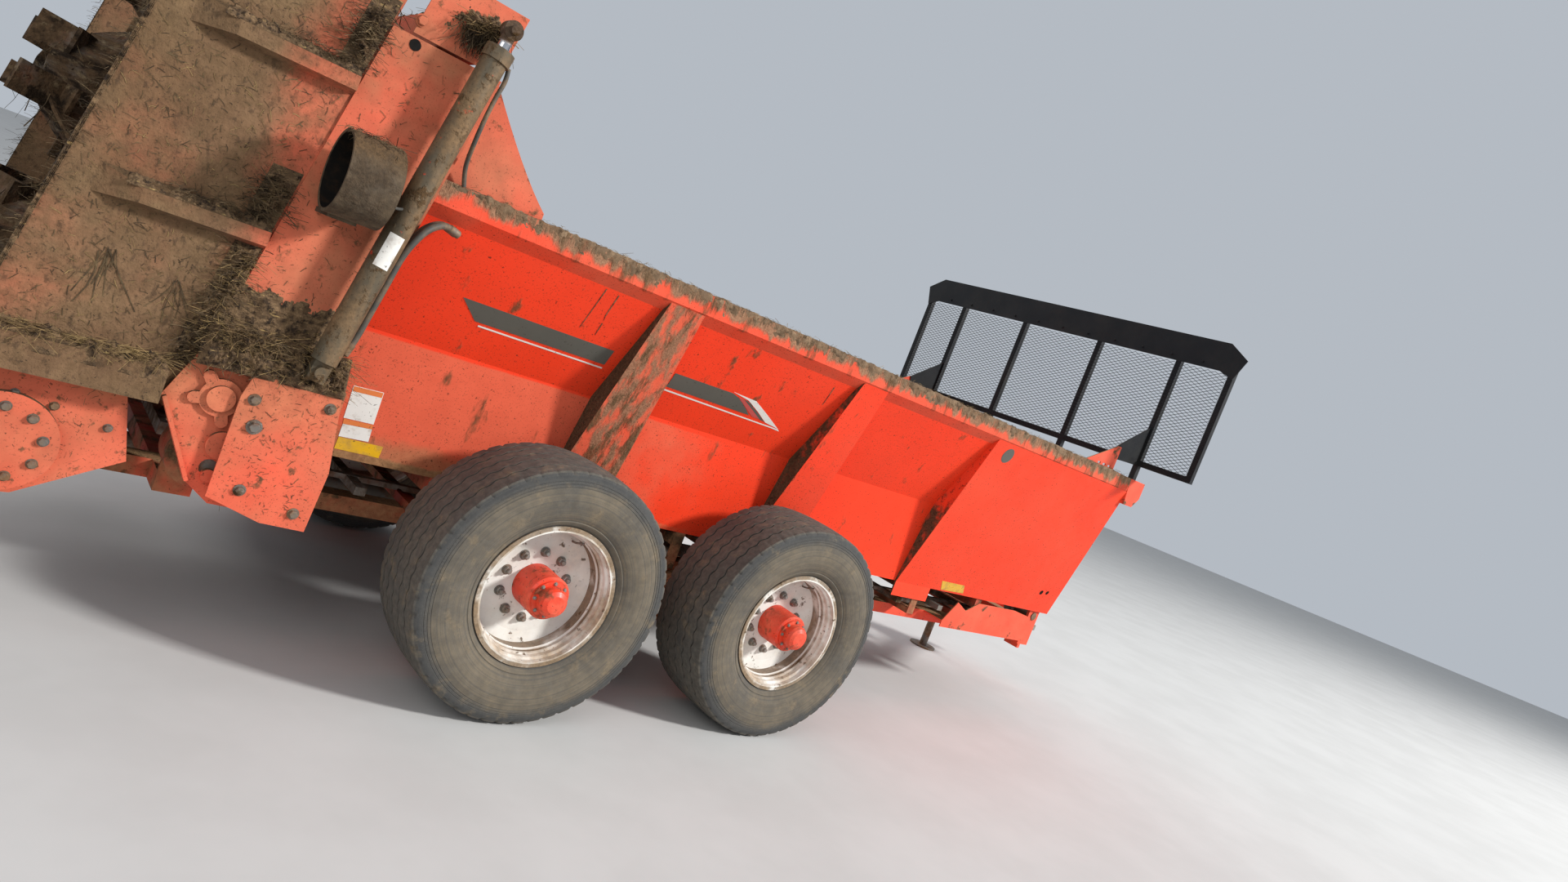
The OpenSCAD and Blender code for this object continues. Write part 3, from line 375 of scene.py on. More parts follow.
@dataclass(frozen=True)
class Finish:
    """A procedural finish: its own colour and grain, under films of dust, dirt and wear, some with painted shade.

    Nodes are the CAD nodes or kinds of wheel part that wear it, and slot is a slot name that Shape.piece
    looks up but does not use. Shade is how far the colour wanders, and grain is in metres.
    """

    name: str
    colour: Spot
    roughness: float
    layers: Tuple[Layer, ...]
    nodes: str = ""
    slot: str = "steel"
    metallic: float = 0.0
    coat: float = 0.0
    gloss: float = 0.35
    shade: float = 0.10
    grain: float = 0.0002
    grain_scale: float = 260.0

    def build(self) -> bpy.types.Material:
        """The finish as a material, made once.

        Returns:
            The material.
        """
        name = "look_" + self.name
        known = bpy.data.materials.get(name)
        if known:
            return known
        graph = Graph(name)
        colour = graph.tone(self.colour, self.shade, 5.0, 0.3)
        roughness = graph.blend(graph.ramp(graph.noise(14.0), 0.3, 0.7), self.roughness * 0.88,
                                min(1.0, self.roughness * 1.12))
        height = graph.math("MULTIPLY", graph.noise(self.grain_scale, detail=2.0), self.grain)
        for layer in self.layers:
            mask = layer.mask(graph)
            colour = graph.mix(mask, colour, graph.tone(layer.colour, layer.vary, layer.scale * 6.0, 0.32))
            roughness = graph.blend(mask, roughness, DUSTY)
            if layer.thick:
                crumb = graph.math("MULTIPLY", graph.noise(CRUMBS, detail=5.0), layer.thick)
                height = graph.math("ADD", height, graph.math("MULTIPLY", mask, crumb))
        bump = graph.node("Bump", {"Distance": 1.0, "Height": height})
        graph.feed(graph.bsdf, {"Base Color": colour, "Roughness": roughness, "Normal": bump.outputs[0],
                                "Metallic": self.metallic, "Specular IOR Level": self.gloss,
                                "Coat Weight": self.coat, "Coat Roughness": COAT_ROUGHNESS})
        return graph.material


SPECKS = Layer(DARK, 0.13, 85, 0.03, 0.75)
GRIT = Layer(DARK, 0.20, 150, 0.05, 0.45)
FILM = Layer(SALMON, 0.62, 2.6, 0.30, 0.55, vary=0.08)
ON_TOP = Layer(CAKE, 0.95, 11, 0.14, 1, 0.012, where=Where.TOPS)

LOOKS = {look.name: look for look in (
    Finish("side_red", CLEAN_RED, 0.5, (
        Layer(SALMON, 0.36, 1.4, 0.30, 0.10, vary=0.05),
        Layer(SALMON, 1, 2, 0.20, 0.62, vary=0.06, z=(1.285, 1.315), x=(-0.6, 1.3)),
        Layer(TAN, 0.85, 4, 0.20, 0.6, vary=0.12, z=(0.84, 1.02), x=(-0.7, 0.4)),
        Layer(TAN, 0.95, 6, 0.14, 0.85, 0.002, z=(0.805, 0.86), x=(-0.2, 1)),
        Layer(CAKE, 0.11, 9, 0.05, 0.85, 0.004, stretch=(1, 1, 0.35)),
        SPECKS, GRIT), "side_left side_right", gloss=0.15, shade=0.03),
    Finish("rail_red", CLEAN_RED, 0.5, (
        FILM,
        Layer((0.25, 0.155, 0.088), 0.84, 15, 0.10, 0.92, 0.005, stretch=(1, 1, 0.22), z=(1.895, 1.74)),
        Layer((0.17, 0.105, 0.058), 0.62, 24, 0.08, 0.9, 0.007, stretch=(1, 1, 0.20), z=(1.90, 1.76)),
        Layer(CAKE, 0.30, 13, 0.09, 0.8, 0.006, stretch=(1, 1, 0.3), z=(1.82, 1.78)),
        Layer(OLIVE, 1, 9, 0.12, 1, 0.012, where=Where.TOPS),
        SPECKS, GRIT), "top_rails", gloss=0.2, shade=0.05),
    Finish("stake_red", CLEAN_RED, 0.5, (
        Layer(SALMON, 0.45, 2, 0.30, 0.2, vary=0.06),
        Layer(SALMON, 1, 3, 0.30, 0.6, vary=0.08, x=(-0.2, 1.1)),
        Layer((0.22, 0.140, 0.078), 0.54, 22, 0.10, 0.85, 0.004, stretch=(1, 1, 0.12), x=(0.1, 1.5)),
        Layer(CAKE, 0.34, 22, 0.08, 0.85, 0.005, stretch=(1, 1, 0.22), x=(0.6, 1.5)),
        Layer(TAN, 0.80, 5, 0.2, 0.7, z=(0.84, 1), x=(0.2, 1.5)),
        # Dark films on the faces that look back: mud, and painted shade on the side away from the light.
        Layer((0.078, 0.046, 0.022), 0.97, 12, 0.16, 1, 0.010, where=Where.REAR_FACES, x=(0.3, 2.7)),
        Layer(LEAF, 0.80, 14, 0.14, 1, 0.010, where=Where.REAR_FACES, z=(1.10, 1.90)),
        Layer(DARK, 0.20, 30, 0.06, 0.7, 0.006, where=Where.REAR_FACES),
        SPECKS, GRIT), "stakes_left stakes_right", gloss=0.2, shade=0.04),
    Finish("column_red", CLEAN_RED, 0.5, (
        Layer(SALMON, 0.92, 2, 0.30, 0.90, vary=0.10),
        Layer((0.50, 0.17, 0.080), 0.34, 1.5, 0.24, 0.5, vary=0.05),
        Layer(TAN, 0.85, 9, 0.20, 0.9, 0.004, z=(1.16, 1.38)),
        Layer(OLIVE, 0.30, 2.6, 0.2, 0.6),
        Layer(CAKE, 0.15, 15, 0.06, 0.9, 0.004),
        ON_TOP, SPECKS, GRIT), "rear_columns corner_wings lift_beam", "dark_red_paint", shade=0.05),
    Finish("base_red", CLEAN_RED, 0.5, (
        Layer(SALMON, 0.85, 1.6, 0.28, 0.84, vary=0.10),
        Layer((0.46, 0.17, 0.080), 0.88, 3, 0.26, 0.6, z=(1, 0.74)),
        Layer(TAN, 0.26, 2.6, 0.22, 0.5),
        Layer(CAKE, 0.12, 24, 0.05, 0.8, 0.002),
        ON_TOP, SPECKS, GRIT), "drive_shields base_panels", shade=0.05),
    Finish("housing_red", CLEAN_RED, 0.55, (
        Layer(SALMON, 0.95, 2.2, 0.30, 0.9, vary=0.1),
        Layer((0.168, 0.110, 0.056), 0.97, 1.6, 0.22, 0.93, 0.004, vary=0.15, x=(-2.20, -1.80)),
        Layer(OLIVE, 0.34, 3.4, 0.24, 0.7, 0.004),
        Layer(CAKE, 0.40, 3.2, 0.20, 0.55, 0.006, stretch=(0.6, 1, 1.3)),
        Layer(CAKE, 0.42, 36, 0.16, 0.45, 0.003),
        Layer(DARK, 0.22, 48, 0.08, 0.5, 0.002, stretch=(1, 1, 0.6)),
        ON_TOP, SPECKS, GRIT), "housing_left housing_right housing_beam endgate", shade=0.05),
    Finish("frame_red", CLEAN_RED, 0.5, (
        FILM,
        Layer(TAN, 0.70, 5, 0.16, 0.85, 0.003, x=(0.9, 2.2)),
        Layer(TAN, 0.9, 8, 0.16, 1, 0.006, where=Where.TOPS),
        Layer(CAKE, 0.14, 12, 0.06, 1, 0.006),
        SPECKS), "frame_left frame_right tongue front_panel front_beam corner_gussets walking_beams",
        shade=0.06),
    # Base colour is a darker copy of the red paint: painted shade on the parts under the box; its films are dirt.
    Finish("under_red", (0.42, 0.032, 0.014), 0.6, (
        Layer(TAN, 0.5, 5, 0.2, 0.85, 0.003),
        Layer(CAKE, 0.35, 9, 0.10, 1, 0.010),
        SPECKS), "frame_bars cross_members apron_drive pivot_stubs drive_beam"),
    Finish("hub_red", (0.78, 0.046, 0.015), 0.42, (
        Layer(SALMON, 0.44, 9, 0.22, 0.5),
        Layer(CAKE, 0.24, 20, 0.10, 0.8, 0.002),
        SPECKS), "hub", coat=0.1, shade=0.06),
    Finish("rim_white", (0.80, 0.78, 0.72), 0.42, (
        Layer((0.50, 0.40, 0.29), 0.34, 5, 0.22, 0.5),
        # Browner towards the rim's edge, beside the tyre.
        Layer((0.33, 0.22, 0.12), 0.52, 7, 0.16, 0.8, 0.001, wheel=(0.262, 0.235)),
        # Browner in the well, on faces that don't look out to a side: dirt, and painted shade in the recess.
        Layer((0.17, 0.110, 0.06), 0.84, 7, 0.16, 0.9, 0.002, where=Where.WELLS, wheel=(0.255, 0.275)),
        Layer((0.20, 0.13, 0.07), 0.78, 16, 0.14, 0.85, wheel=(0.285, 0.276)),
        Layer(CAKE, 0.14, 30, 0.05, 0.9, 0.002),
        Layer(RUST, 0.06, 60, 0.03)), "rim", coat=0.05, shade=0.03),
    Finish("tyre_worn", (0.052, 0.052, 0.051), 0.8, (
        Layer((0.084, 0.079, 0.070), 0.55, 26, 0.18, 0.8, where=Where.RINGS),
        Layer((0.118, 0.102, 0.080), 0.97, 7, 0.20, 0.85, wall=(1.6, 1.3)),
        Layer((0.185, 0.148, 0.100), 0.88, 4, 0.26, 0.85, vary=0.12, wall=(0.62, 0.98), bead=(0.10, -0.02)),
        Layer((0.070, 0.068, 0.064), 0.36, 34, 0.16, 0.6, where=Where.RINGS),
        Layer((0.075, 0.072, 0.066), 0.40, 7, 0.20, 0.5),
        # Near-black on the grooves' floors: painted shade in the grooves.
        Layer((0.012, 0.011, 0.010), 1, 9, 0.10, 0.92, where=Where.GROOVES),
        Layer((0.22, 0.165, 0.100), 0.14, 14, 0.12, 0.6, 0.002)),
        "tyre", "tyre_rubber", gloss=0.3, shade=0.15, grain=0.0004),
    Finish("dull_steel", (0.20, 0.185, 0.165), 0.5, (
        Layer(RUST, 0.28, 18, 0.12, 0.7),
        Layer(TAN, 0.45, 7, 0.16, 0.85, 0.003),
        Layer(CAKE, 0.20, 12, 0.08, 1, 0.006)),
        "jack_tube jack_leg apron_shafts driveline", metallic=0.7, shade=0.15),
    Finish("forged_steel", (0.26, 0.25, 0.23), 0.45, (
        Layer(RUST, 0.24, 40, 0.10, 0.6),
        Layer(TAN, 0.30, 24, 0.16, 0.6)), "hitch_eye spindles", metallic=0.4, shade=0.15),
    Finish("apron_steel", (0.26, 0.24, 0.21), 0.42, (
        Layer(RUST, 0.40, 12, 0.14, 0.75),
        Layer(CAKE, 0.48, 7, 0.14, 1, 0.008)), "apron", metallic=0.75, shade=0.15),
    Finish("beater_steel", (0.150, 0.120, 0.092), 0.75, (
        Layer(RUST, 0.42, 12, 0.12, 0.7),
        Layer(LEAF, 0.74, 9, 0.12, 1, 0.006),
        Layer((0.030, 0.018, 0.010), 0.42, 16, 0.10, 1, 0.008),
        Layer((0.20, 0.140, 0.078), 0.22, 26, 0.08, 1, 0.004),
        SPECKS), "beater_left beater_right", metallic=0.3, gloss=0.2, shade=0.15),
    Finish("guard_black", (0.009, 0.010, 0.012), 0.45, (
        Layer((0.07, 0.060, 0.045), 0.24, 4, 0.30, 0.22),
        Layer(TAN, 0.45, 7, 0.18, 0.35, where=Where.TOPS)),
        "guard_frame guard_mesh", "black_paint", gloss=0.22, shade=0.15),
    Finish("lamp_black", (0.018, 0.016, 0.014), 0.55, (
        Layer((0.115, 0.078, 0.044), 0.80, 5, 0.24, 0.85, 0.003),
        Layer((0.062, 0.040, 0.022), 0.48, 16, 0.12, 1, 0.006),
        Layer(CAKE, 0.90, 14, 0.14, 1, 0.008, where=Where.TOPS)), "tail_lamps", shade=0.2),
    # Near-black for painted shade: inside the lamp guards and in the holes.
    Finish("lamp_lining", (0.008, 0.007, 0.006), 0.8, (
        Layer(DARK, 0.30, 20, 0.12, 0.7),), slot="black_paint", gloss=0.1),
    Finish("lens_red", (0.16, 0.008, 0.006), 0.16, (
        Layer(CAKE, 0.60, 12, 0.16, 0.85),), "lamp_lenses", coat=0.6),
    Finish("cylinder_brown", (0.095, 0.076, 0.048), 0.52, (
        Layer(TAN, 0.40, 10, 0.16, 0.6, 0.002, stretch=(1, 1, 0.4)),
        Layer(CAKE, 0.26, 20, 0.06, 1, 0.005),
        Layer(CLEAN_RED, 0.05, 16, 0.05, 0.8),
        GRIT), "lift_cylinders", metallic=0.25, shade=0.15),
    Finish("chrome_rod", (0.62, 0.62, 0.63), 0.14, (
        Layer(TAN, 0.24, 14, 0.20, 0.5),
        Layer((0.14, 0.085, 0.048), 1, 8, 0.16, 0.94, 0.003, z=(2.410, 2.375)),
        Layer(CAKE, 0.34, 26, 0.10, 1, 0.004, z=(2.410, 2.375))),
        "lift_rods", metallic=1.0, shade=0.04, grain=0.0),
    Finish("hose_grey", (0.070, 0.067, 0.058), 0.55, (
        Layer(TAN, 0.34, 16, 0.20, 0.6),), "hoses", "hose_rubber", shade=0.12),
    Finish("floor_worn", (0.24, 0.20, 0.15), 0.6, (
        Layer(CAKE, 0.58, 4, 0.16, 1, 0.006, stretch=(0.4, 1, 1)),
        Layer(OLIVE, 0.25, 9, 0.10, 1, 0.004)), "floor", shade=0.12),
    Finish("stripe_grey", (0.095, 0.088, 0.072), 0.4, (SPECKS,), slot="black_paint", shade=0.06),
    Finish("stripe_white", (0.72, 0.68, 0.62), 0.4, (SPECKS,), slot="white_paint", shade=0.05),
    Finish("stripe_red", (0.50, 0.075, 0.065), 0.4, (SPECKS,), slot="red_paint", shade=0.05),
    Finish("label_white", (0.78, 0.75, 0.69), 0.42, (
        Layer(TAN, 0.22, 30, 0.14, 0.5), SPECKS), slot="white_paint", shade=0.04),
    Finish("label_orange", (0.72, 0.20, 0.05), 0.42, (SPECKS,), slot="red_paint", shade=0.05),
    Finish("reflector_yellow", (0.72, 0.40, 0.012), 0.3, (
        Layer(TAN, 0.30, 22, 0.18, 0.6), SPECKS), slot="white_paint", coat=0.4, shade=0.05),
    Finish("dried_dirt", (0.092, 0.054, 0.026), 0.95, (
        Layer((0.18, 0.110, 0.055), 0.50, 30, 0.12, 1, 0.004, stretch=(1, 1, 2)),
        Layer(DARK, 0.34, 44, 0.10, 1, 0.004),
        Layer(STRAW, 0.12, 80, 0.05, stretch=(0.3, 0.3, 1))),
        slot="dark_red_paint", shade=0.3, grain=0.003, grain_scale=60.0),
    Finish("rail_dirt", (0.150, 0.092, 0.050), 0.95, (
        Layer((0.23, 0.150, 0.086), 0.46, 20, 0.14, 1, 0.003, stretch=(1, 1, 0.4)),
        Layer((0.085, 0.050, 0.024), 0.34, 34, 0.10, 1, 0.004)),
        slot="dark_red_paint", shade=0.25, grain=0.003, grain_scale=60.0),
    Finish("straw", STRAW, 0.75, (
        Layer(CAKE, 0.62, 14, 0.20, 0.85),), slot="floor_board", shade=0.3),
    Finish("dark_fibre", (0.045, 0.028, 0.014), 0.9, (
        Layer(OLIVE, 0.40, 20, 0.20, 0.8),), slot="floor_board", shade=0.3))}


class Shape:
    """Collects the faces of one piece and makes its object."""

    def __init__(self, name: str) -> None:
        """Starts an empty piece.

        Args:
            name: The piece's name.
        """
        self.name = name
        self.points: List[Vector] = []
        self.faces: List[Tuple[int, ...]] = []
        self.traces: List[Spot] = []

    def rings(self, rings: Sequence[Sequence[Vector]], loop: bool = False) -> None:
        """Joins rings of equal size by quads, and closes the two ends unless the rings loop.

        Args:
            rings: The rings, each a list of points.
            loop: Whether the last ring joins the first.
        """
        n, m = len(rings), len(rings[0])
        faces = [(i * m + k, (i + 1) % n * m + k, (i + 1) % n * m + (k + 1) % m, i * m + (k + 1) % m)
                 for i in range(n if loop else n - 1) for k in range(m)]
        if not loop:
            faces += [tuple(range(m)), tuple((n - 1) * m + k for k in reversed(range(m)))]
        start = len(self.points)
        self.points.extend(p for ring in rings for p in ring)
        self.faces.extend(tuple(start + i for i in face) for face in faces)

    def lathe(self, profile: Sequence[Pair], centre: Vector, axis: Vector, sides: int = 24) -> None:
        """Turns an outline of radius and height about an axis."""
        turn = axis.to_track_quat("Z", "Y").to_matrix()
        self.rings([[centre + turn @ Vector((r * c, r * s, h)) for c, s in turns(sides)] for r, h in profile])

    def bolt(self, place: Vector, axis: Vector, across: float, washer: float = 1.25, stud: float = 0.0) -> None:
        """Adds a hexagon head with its washer, and the end of a stud.

        Args:
            place: The middle of its seat.
            axis: The way that the head stands out.
            across: Width over the flats.
            washer: The washer's radius as a share of the head's.
            stud: How far a stud stands out of the head.
        """
        r = across / math.sqrt(3)
        tall = across * 0.62
        flat = across * 0.12
        self.lathe([(r * washer, -flat), (r * washer, flat)], place, axis, 16)
        self.lathe([(r, flat), (r, tall * 0.88), (r * 0.86, tall)], place, axis, 6)
        if stud:
            self.lathe([(r * 0.52, tall - flat), (r * 0.52, tall + stud - 0.002), (r * 0.42, tall + stud)],
                       place, axis, 12)

    def tube(self, path: Sequence[Vector], radius: float, sides: int = 12) -> None:
        """Adds a round tube along a path.

        Args:
            path: The points along its middle.
            radius: The tube's radius.
            sides: Points round each ring.
        """
        rings = []
        for i, point in enumerate(path):
            along = (path[min(i + 1, len(path) - 1)] - path[max(i - 1, 0)]).normalized()
            side = along.cross(Vector((0.02, 1.0, 0.05))).normalized()
            other = along.cross(side)
            rings.append([point + radius * (c * side + s * other) for c, s in turns(sides)])
        self.rings(rings)

    def piece(self, body: str, look: str, angle: float = 35.0, slot: str = "") -> bpy.types.Object:
        """Makes the object, dresses it and lets it ride on its body.

        Args:
            body: The body that carries it.
            look: The name of the finish that it wears.
            angle: Edges sharper than this, in degrees, stay sharp.
            slot: A record slot name, worked out but not used.

        Returns:
            The piece.
        """
        slot = slot or LOOKS[look].slot
        mesh = bpy.data.meshes.new(self.name)
        mesh.from_pydata([tuple(p) for p in self.points], [], self.faces)
        tidy = bmesh.new()
        tidy.from_mesh(mesh)
        bmesh.ops.recalc_face_normals(tidy, faces=tidy.faces)
        tidy.to_mesh(mesh)
        tidy.free()
        mesh.polygons.foreach_set("use_smooth", [True] * len(mesh.polygons))
        mesh.set_sharp_from_angle(angle=math.radians(angle))
        mesh.materials.append(LOOKS[look].build())
        if self.traces:
            trace = mesh.attributes.new(TRACE, "FLOAT_VECTOR", "POINT")
            trace.data.foreach_set("vector", [v for t in self.traces for v in t])
        made = placed(self.name, mesh)
        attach(made, body)
        LOG.info("%s: %d triangles", self.name, sum(len(f) - 2 for f in self.faces))
        return made


def smooth_path(points: Sequence[Vector], steps: int = 6) -> List[Vector]:
    """A smooth line through points, with steps parts between two of them.

    Args:
        points: The points that the line passes.
        steps: Parts between two points.

    Returns:
        The line's points.
    """
    path = []
    for i in range(len(points) - 1):
        a, b = points[max(i - 1, 0)], points[i]
        c, d = points[i + 1], points[min(i + 2, len(points) - 1)]
        for t in (k / steps for k in range(steps)):
            path.append(0.5 * ((2 * b) + (c - a) * t + (2 * a - 5 * b + 4 * c - d) * t * t
                               + (3 * b - a - 3 * c + d) * t * t * t))
    return path + [points[-1]]


@dataclass(frozen=True)
class Studio:
    """The camera at the photograph's place, a pale floor and soft lights."""

    eye: Spot = (-2.7469, -4.5885, 1.6986)
    yaw: float = 0.7271
    pitch: float = -0.061
    roll: float = 0.3723
    lens_mm: float = 22.683
    floor_half: float = 60.0
    floor_tones: Tuple[Spot, Spot] = ((0.50, 0.49, 0.47), (0.54, 0.53, 0.51))
    sky: Spot = (0.74, 0.80, 0.88)
    sky_strength: float = 0.62
    sun_way: Spot = (0.62, -0.60, 0.50)
    sun_far: float = 32.0
    sun_size: float = 3.6
    sun_watts: float = 11800.0
    soft: Tuple[Tuple[str, Spot, float, float], ...] = (
        ("fill", (-9.0, -8.0, 7.0), 7.0, 420.0), ("back", (2.0, 10.0, 8.0), 6.0, 500.0))

    def camera(self, machine: Machine) -> None:
        """Sets the camera from its place and angles.

        Args:
            machine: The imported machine.
        """
        ahead = Vector((math.sin(self.yaw) * math.cos(self.pitch), math.cos(self.yaw) * math.cos(self.pitch),
                        math.sin(self.pitch)))
        level = Vector((math.cos(self.yaw), -math.sin(self.yaw), 0))
        above = level.cross(ahead)
        right = math.cos(self.roll) * level + math.sin(self.roll) * above
        up = -math.sin(self.roll) * level + math.cos(self.roll) * above
        data = bpy.data.cameras.new("camera")
        data.lens = self.lens_mm
        data.sensor_width = 36.0
        data.clip_end = 400.0
        camera = placed("camera", data)
        turn = Matrix((right, up, -ahead)).transposed().to_4x4()
        camera.matrix_world = Matrix.Translation(machine.at(*self.eye)) @ turn
        bpy.context.scene.camera = camera

    def lamp(self, name: str, place: Vector, aim: Vector, size: float, watts: float) -> None:
        """Adds a soft square lamp that looks at a point.

        Args:
            name: Its name.
            place: Where it stands.
            aim: The point that it looks at.
            size: Width of its square.
            watts: Its power.
        """
        data = bpy.data.lights.new(name, "AREA")
        data.size = size
        data.energy = watts
        light = placed(name, data)
        light.location = place
        light.rotation_euler = (aim - place).to_track_quat("-Z", "Y").to_euler()

    def floor(self) -> None:
        """Lays the pale floor."""
        half = self.floor_half
        mesh = bpy.data.meshes.new("floor")
        ends = [(-half, -half, 0), (half, -half, 0), (half, half, 0), (-half, half, 0)]
        mesh.from_pydata(ends, [], [(0, 1, 2, 3)])
        graph = Graph("floor_pale")
        tone = graph.mix(graph.ramp(graph.noise(1.5), 0.3, 0.7), *self.floor_tones)
        graph.feed(graph.bsdf, {"Base Color": tone, "Roughness": 0.8})
        mesh.materials.append(graph.material)
        floor = placed("floor", mesh)

    def build(self, machine: Machine) -> None:
        """Builds the camera, the floor, the lamps and the pale surround.

        Args:
            machine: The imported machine.
        """
        self.camera(machine)
        self.floor()
        aim = machine.at(0.0, 0.0, 1.0)
        self.lamp("key", aim + Vector(self.sun_way).normalized() * self.sun_far, aim, self.sun_size, self.sun_watts)
        for name, place, size, watts in self.soft:
            self.lamp(name, machine.at(*place), aim, size, watts)
        world = bpy.data.worlds.new("surround")
        world.use_nodes = True
        back = world.node_tree.nodes["Background"]
        back.inputs["Color"].default_value = (*self.sky, 1)
        back.inputs["Strength"].default_value = self.sky_strength
        bpy.context.scene.world = world
        bpy.context.scene.view_settings.view_transform = "Standard"


@dataclass(frozen=True)
class Tyre:
    """A worn road tyre: ribs between thin zigzag grooves, a notched shoulder and fine rings.

    Seat gives how far out of the bead's radius each point is and its distance from the middle, and
    bulge gives how far it is inside the half width instead.
    """

    bead_r: float = 0.2858
    seat: Outline = ((0.0005, 0.160), (0.014, 0.1652), (0.022, 0.1745), (0.034, 0.1835), (0.038, 0.1860),
                     (0.042, 0.1846))
    bulge: Outline = ((0.055, 0.0185), (0.075, 0.0105), (0.100, 0.004), (0.125, 0.0004))
    upper: Outline = ((0.105, 0.0008), (0.085, 0.004))
    wall_rings: Spot = (0.074, 0.062, 0.050)
    ring_half: float = 0.002
    ring_deep: float = 0.0018
    ring_edge: float = 0.0004
    ring_slope: float = 0.14
    shoulder: Outline = ((0.038, 0.0110), (0.026, 0.0140))
    lining_y: float = 0.130
    lining_up: float = 0.0005
    lining_down: float = 0.06
    lining_in: float = 0.050
    groove_y: Tuple[float, ...] = (0.130, 0.065, 0.0, -0.065, -0.130)
    groove_half: float = 0.0046
    groove_floor: float = 0.0030
    groove_deep: float = 0.010
    zig: float = 0.008
    zigs: int = 50
    waves: Tuple[float, ...] = (0.0, 0.67, 0.67, 0.0, -0.67, -0.67)
    shoulder_y: float = 0.1900
    rib_y: float = 0.170
    crown_drop: float = 0.011
    crown_power: float = 2.4
    notch: float = 0.005
    notch_share: float = 0.4
    tread_deep: float = 0.03
    on_tread: float = 2.0

    def wall(self, r: float, hw: float) -> List[Pair]:
        """Radius and distance from the middle, from the bead out to the shoulder.

        Args:
            r: The tyre's radius.
            hw: Half the tyre's width.

        Returns:
            The points, from the bead outwards.
        """
        points = [(self.bead_r + up, y) for up, y in self.seat]
        points += [(self.bead_r + up, hw - y) for up, y in self.bulge]
        points += [(r - down, hw - y) for down, y in self.upper]
        top, inside = self.upper[-1]
        for ring in self.wall_rings:
            base = hw - inside - (top - ring) * self.ring_slope
            points += [(r - ring - self.ring_half, base), (r - ring, base - self.ring_deep),
                       (r - ring + self.ring_half, base - self.ring_edge)]
        return points + [(r - down, hw - y) for down, y in self.shoulder]

    def crown(self, r: float, y: float) -> float:
        """Radius of the tread at a distance from the middle."""
        return r - self.crown_drop * (abs(y) / self.shoulder_y) ** self.crown_power

    def section(self, r: float, hw: float, step: int) -> List[Spot]:
        """The closed outline of the tyre at one step round it: radius, distance from the middle, depth.

        Args:
            r: The tyre's radius.
            hw: Half the tyre's width.
            step: The number of the step round it.

        Returns:
            The outline's points.
        """
        wave = self.waves[step % len(self.waves)] * self.zig
        cut = self.notch if step % len(self.waves) == 0 else 0.0
        edge = self.shoulder_y - cut
        rim = [(self.crown(r, edge) - cut, edge), (self.crown(r, self.rib_y) - cut * self.notch_share, self.rib_y)]
        tread = [(q, y, 0) for q, y in rim]
        for i, middle in enumerate(self.groove_y):
            top = self.crown(r, middle)
            floor = top - self.groove_deep
            tread += [(top, middle + wave + self.groove_half, 0), (floor, middle + wave + self.groove_floor, 1),
                      (floor, middle + wave - self.groove_floor, 1), (top, middle + wave - self.groove_half, 0)]
            if i < len(self.groove_y) - 1:
                rib = (middle + self.groove_y[i + 1]) / 2
                tread.append((self.crown(r, rib), rib, 0))
        tread += [(q, -y, 0) for q, y in reversed(rim)]
        wall = [(q, y, 0) for q, y in self.wall(r, hw)]
        low, high = self.bead_r + self.lining_up, r - self.lining_down
        lining = [(low, -self.lining_y, 0), (high, -hw + self.lining_in, 0), (high, hw - self.lining_in, 0),
                  (low, self.lining_y, 0)]
        return wall + tread + [(q, -y, d) for q, y, d in reversed(wall)] + lining

    def build(self, wheel: str) -> None:
        """Builds the tyre of one wheel in place of its solid.

        Args:
            wheel: The wheel's letters, such as fl.
        """
        low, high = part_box("tyre_" + wheel)
        centre = (low + high) / 2
        r, hw = (high.z - low.z) / 2, (high.y - low.y) / 2
        shape = Shape("tyre_skin_" + wheel)
        rings = []
        for step, (c, s) in enumerate(turns(self.zigs * len(self.waves))):
            section = self.section(r, hw, step)
            rings.append([centre + Vector((q * c, y, q * s)) for q, y, _ in section])
            # The trace's first part marks the groove floors, where the painted groove shade goes.
            shape.traces += [(d, self.on_tread if abs(y) <= self.shoulder_y and q > r - self.tread_deep
                              else (q - self.bead_r) / (r - self.bead_r), 0.0) for q, y, d in section]
        shape.rings(rings, loop=True)
        made = shape.piece("wheel_" + wheel, "tyre_worn", angle=28.0)
        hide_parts("tyre_" + wheel)


@dataclass(frozen=True)
class BoltRing:
    """Bolts on a circle round a wheel's axis."""

    name: str
    count: int
    start: float
    face: float
    circle: float
    across: float
    washer: float = 1.25
    stud: float = 0.0


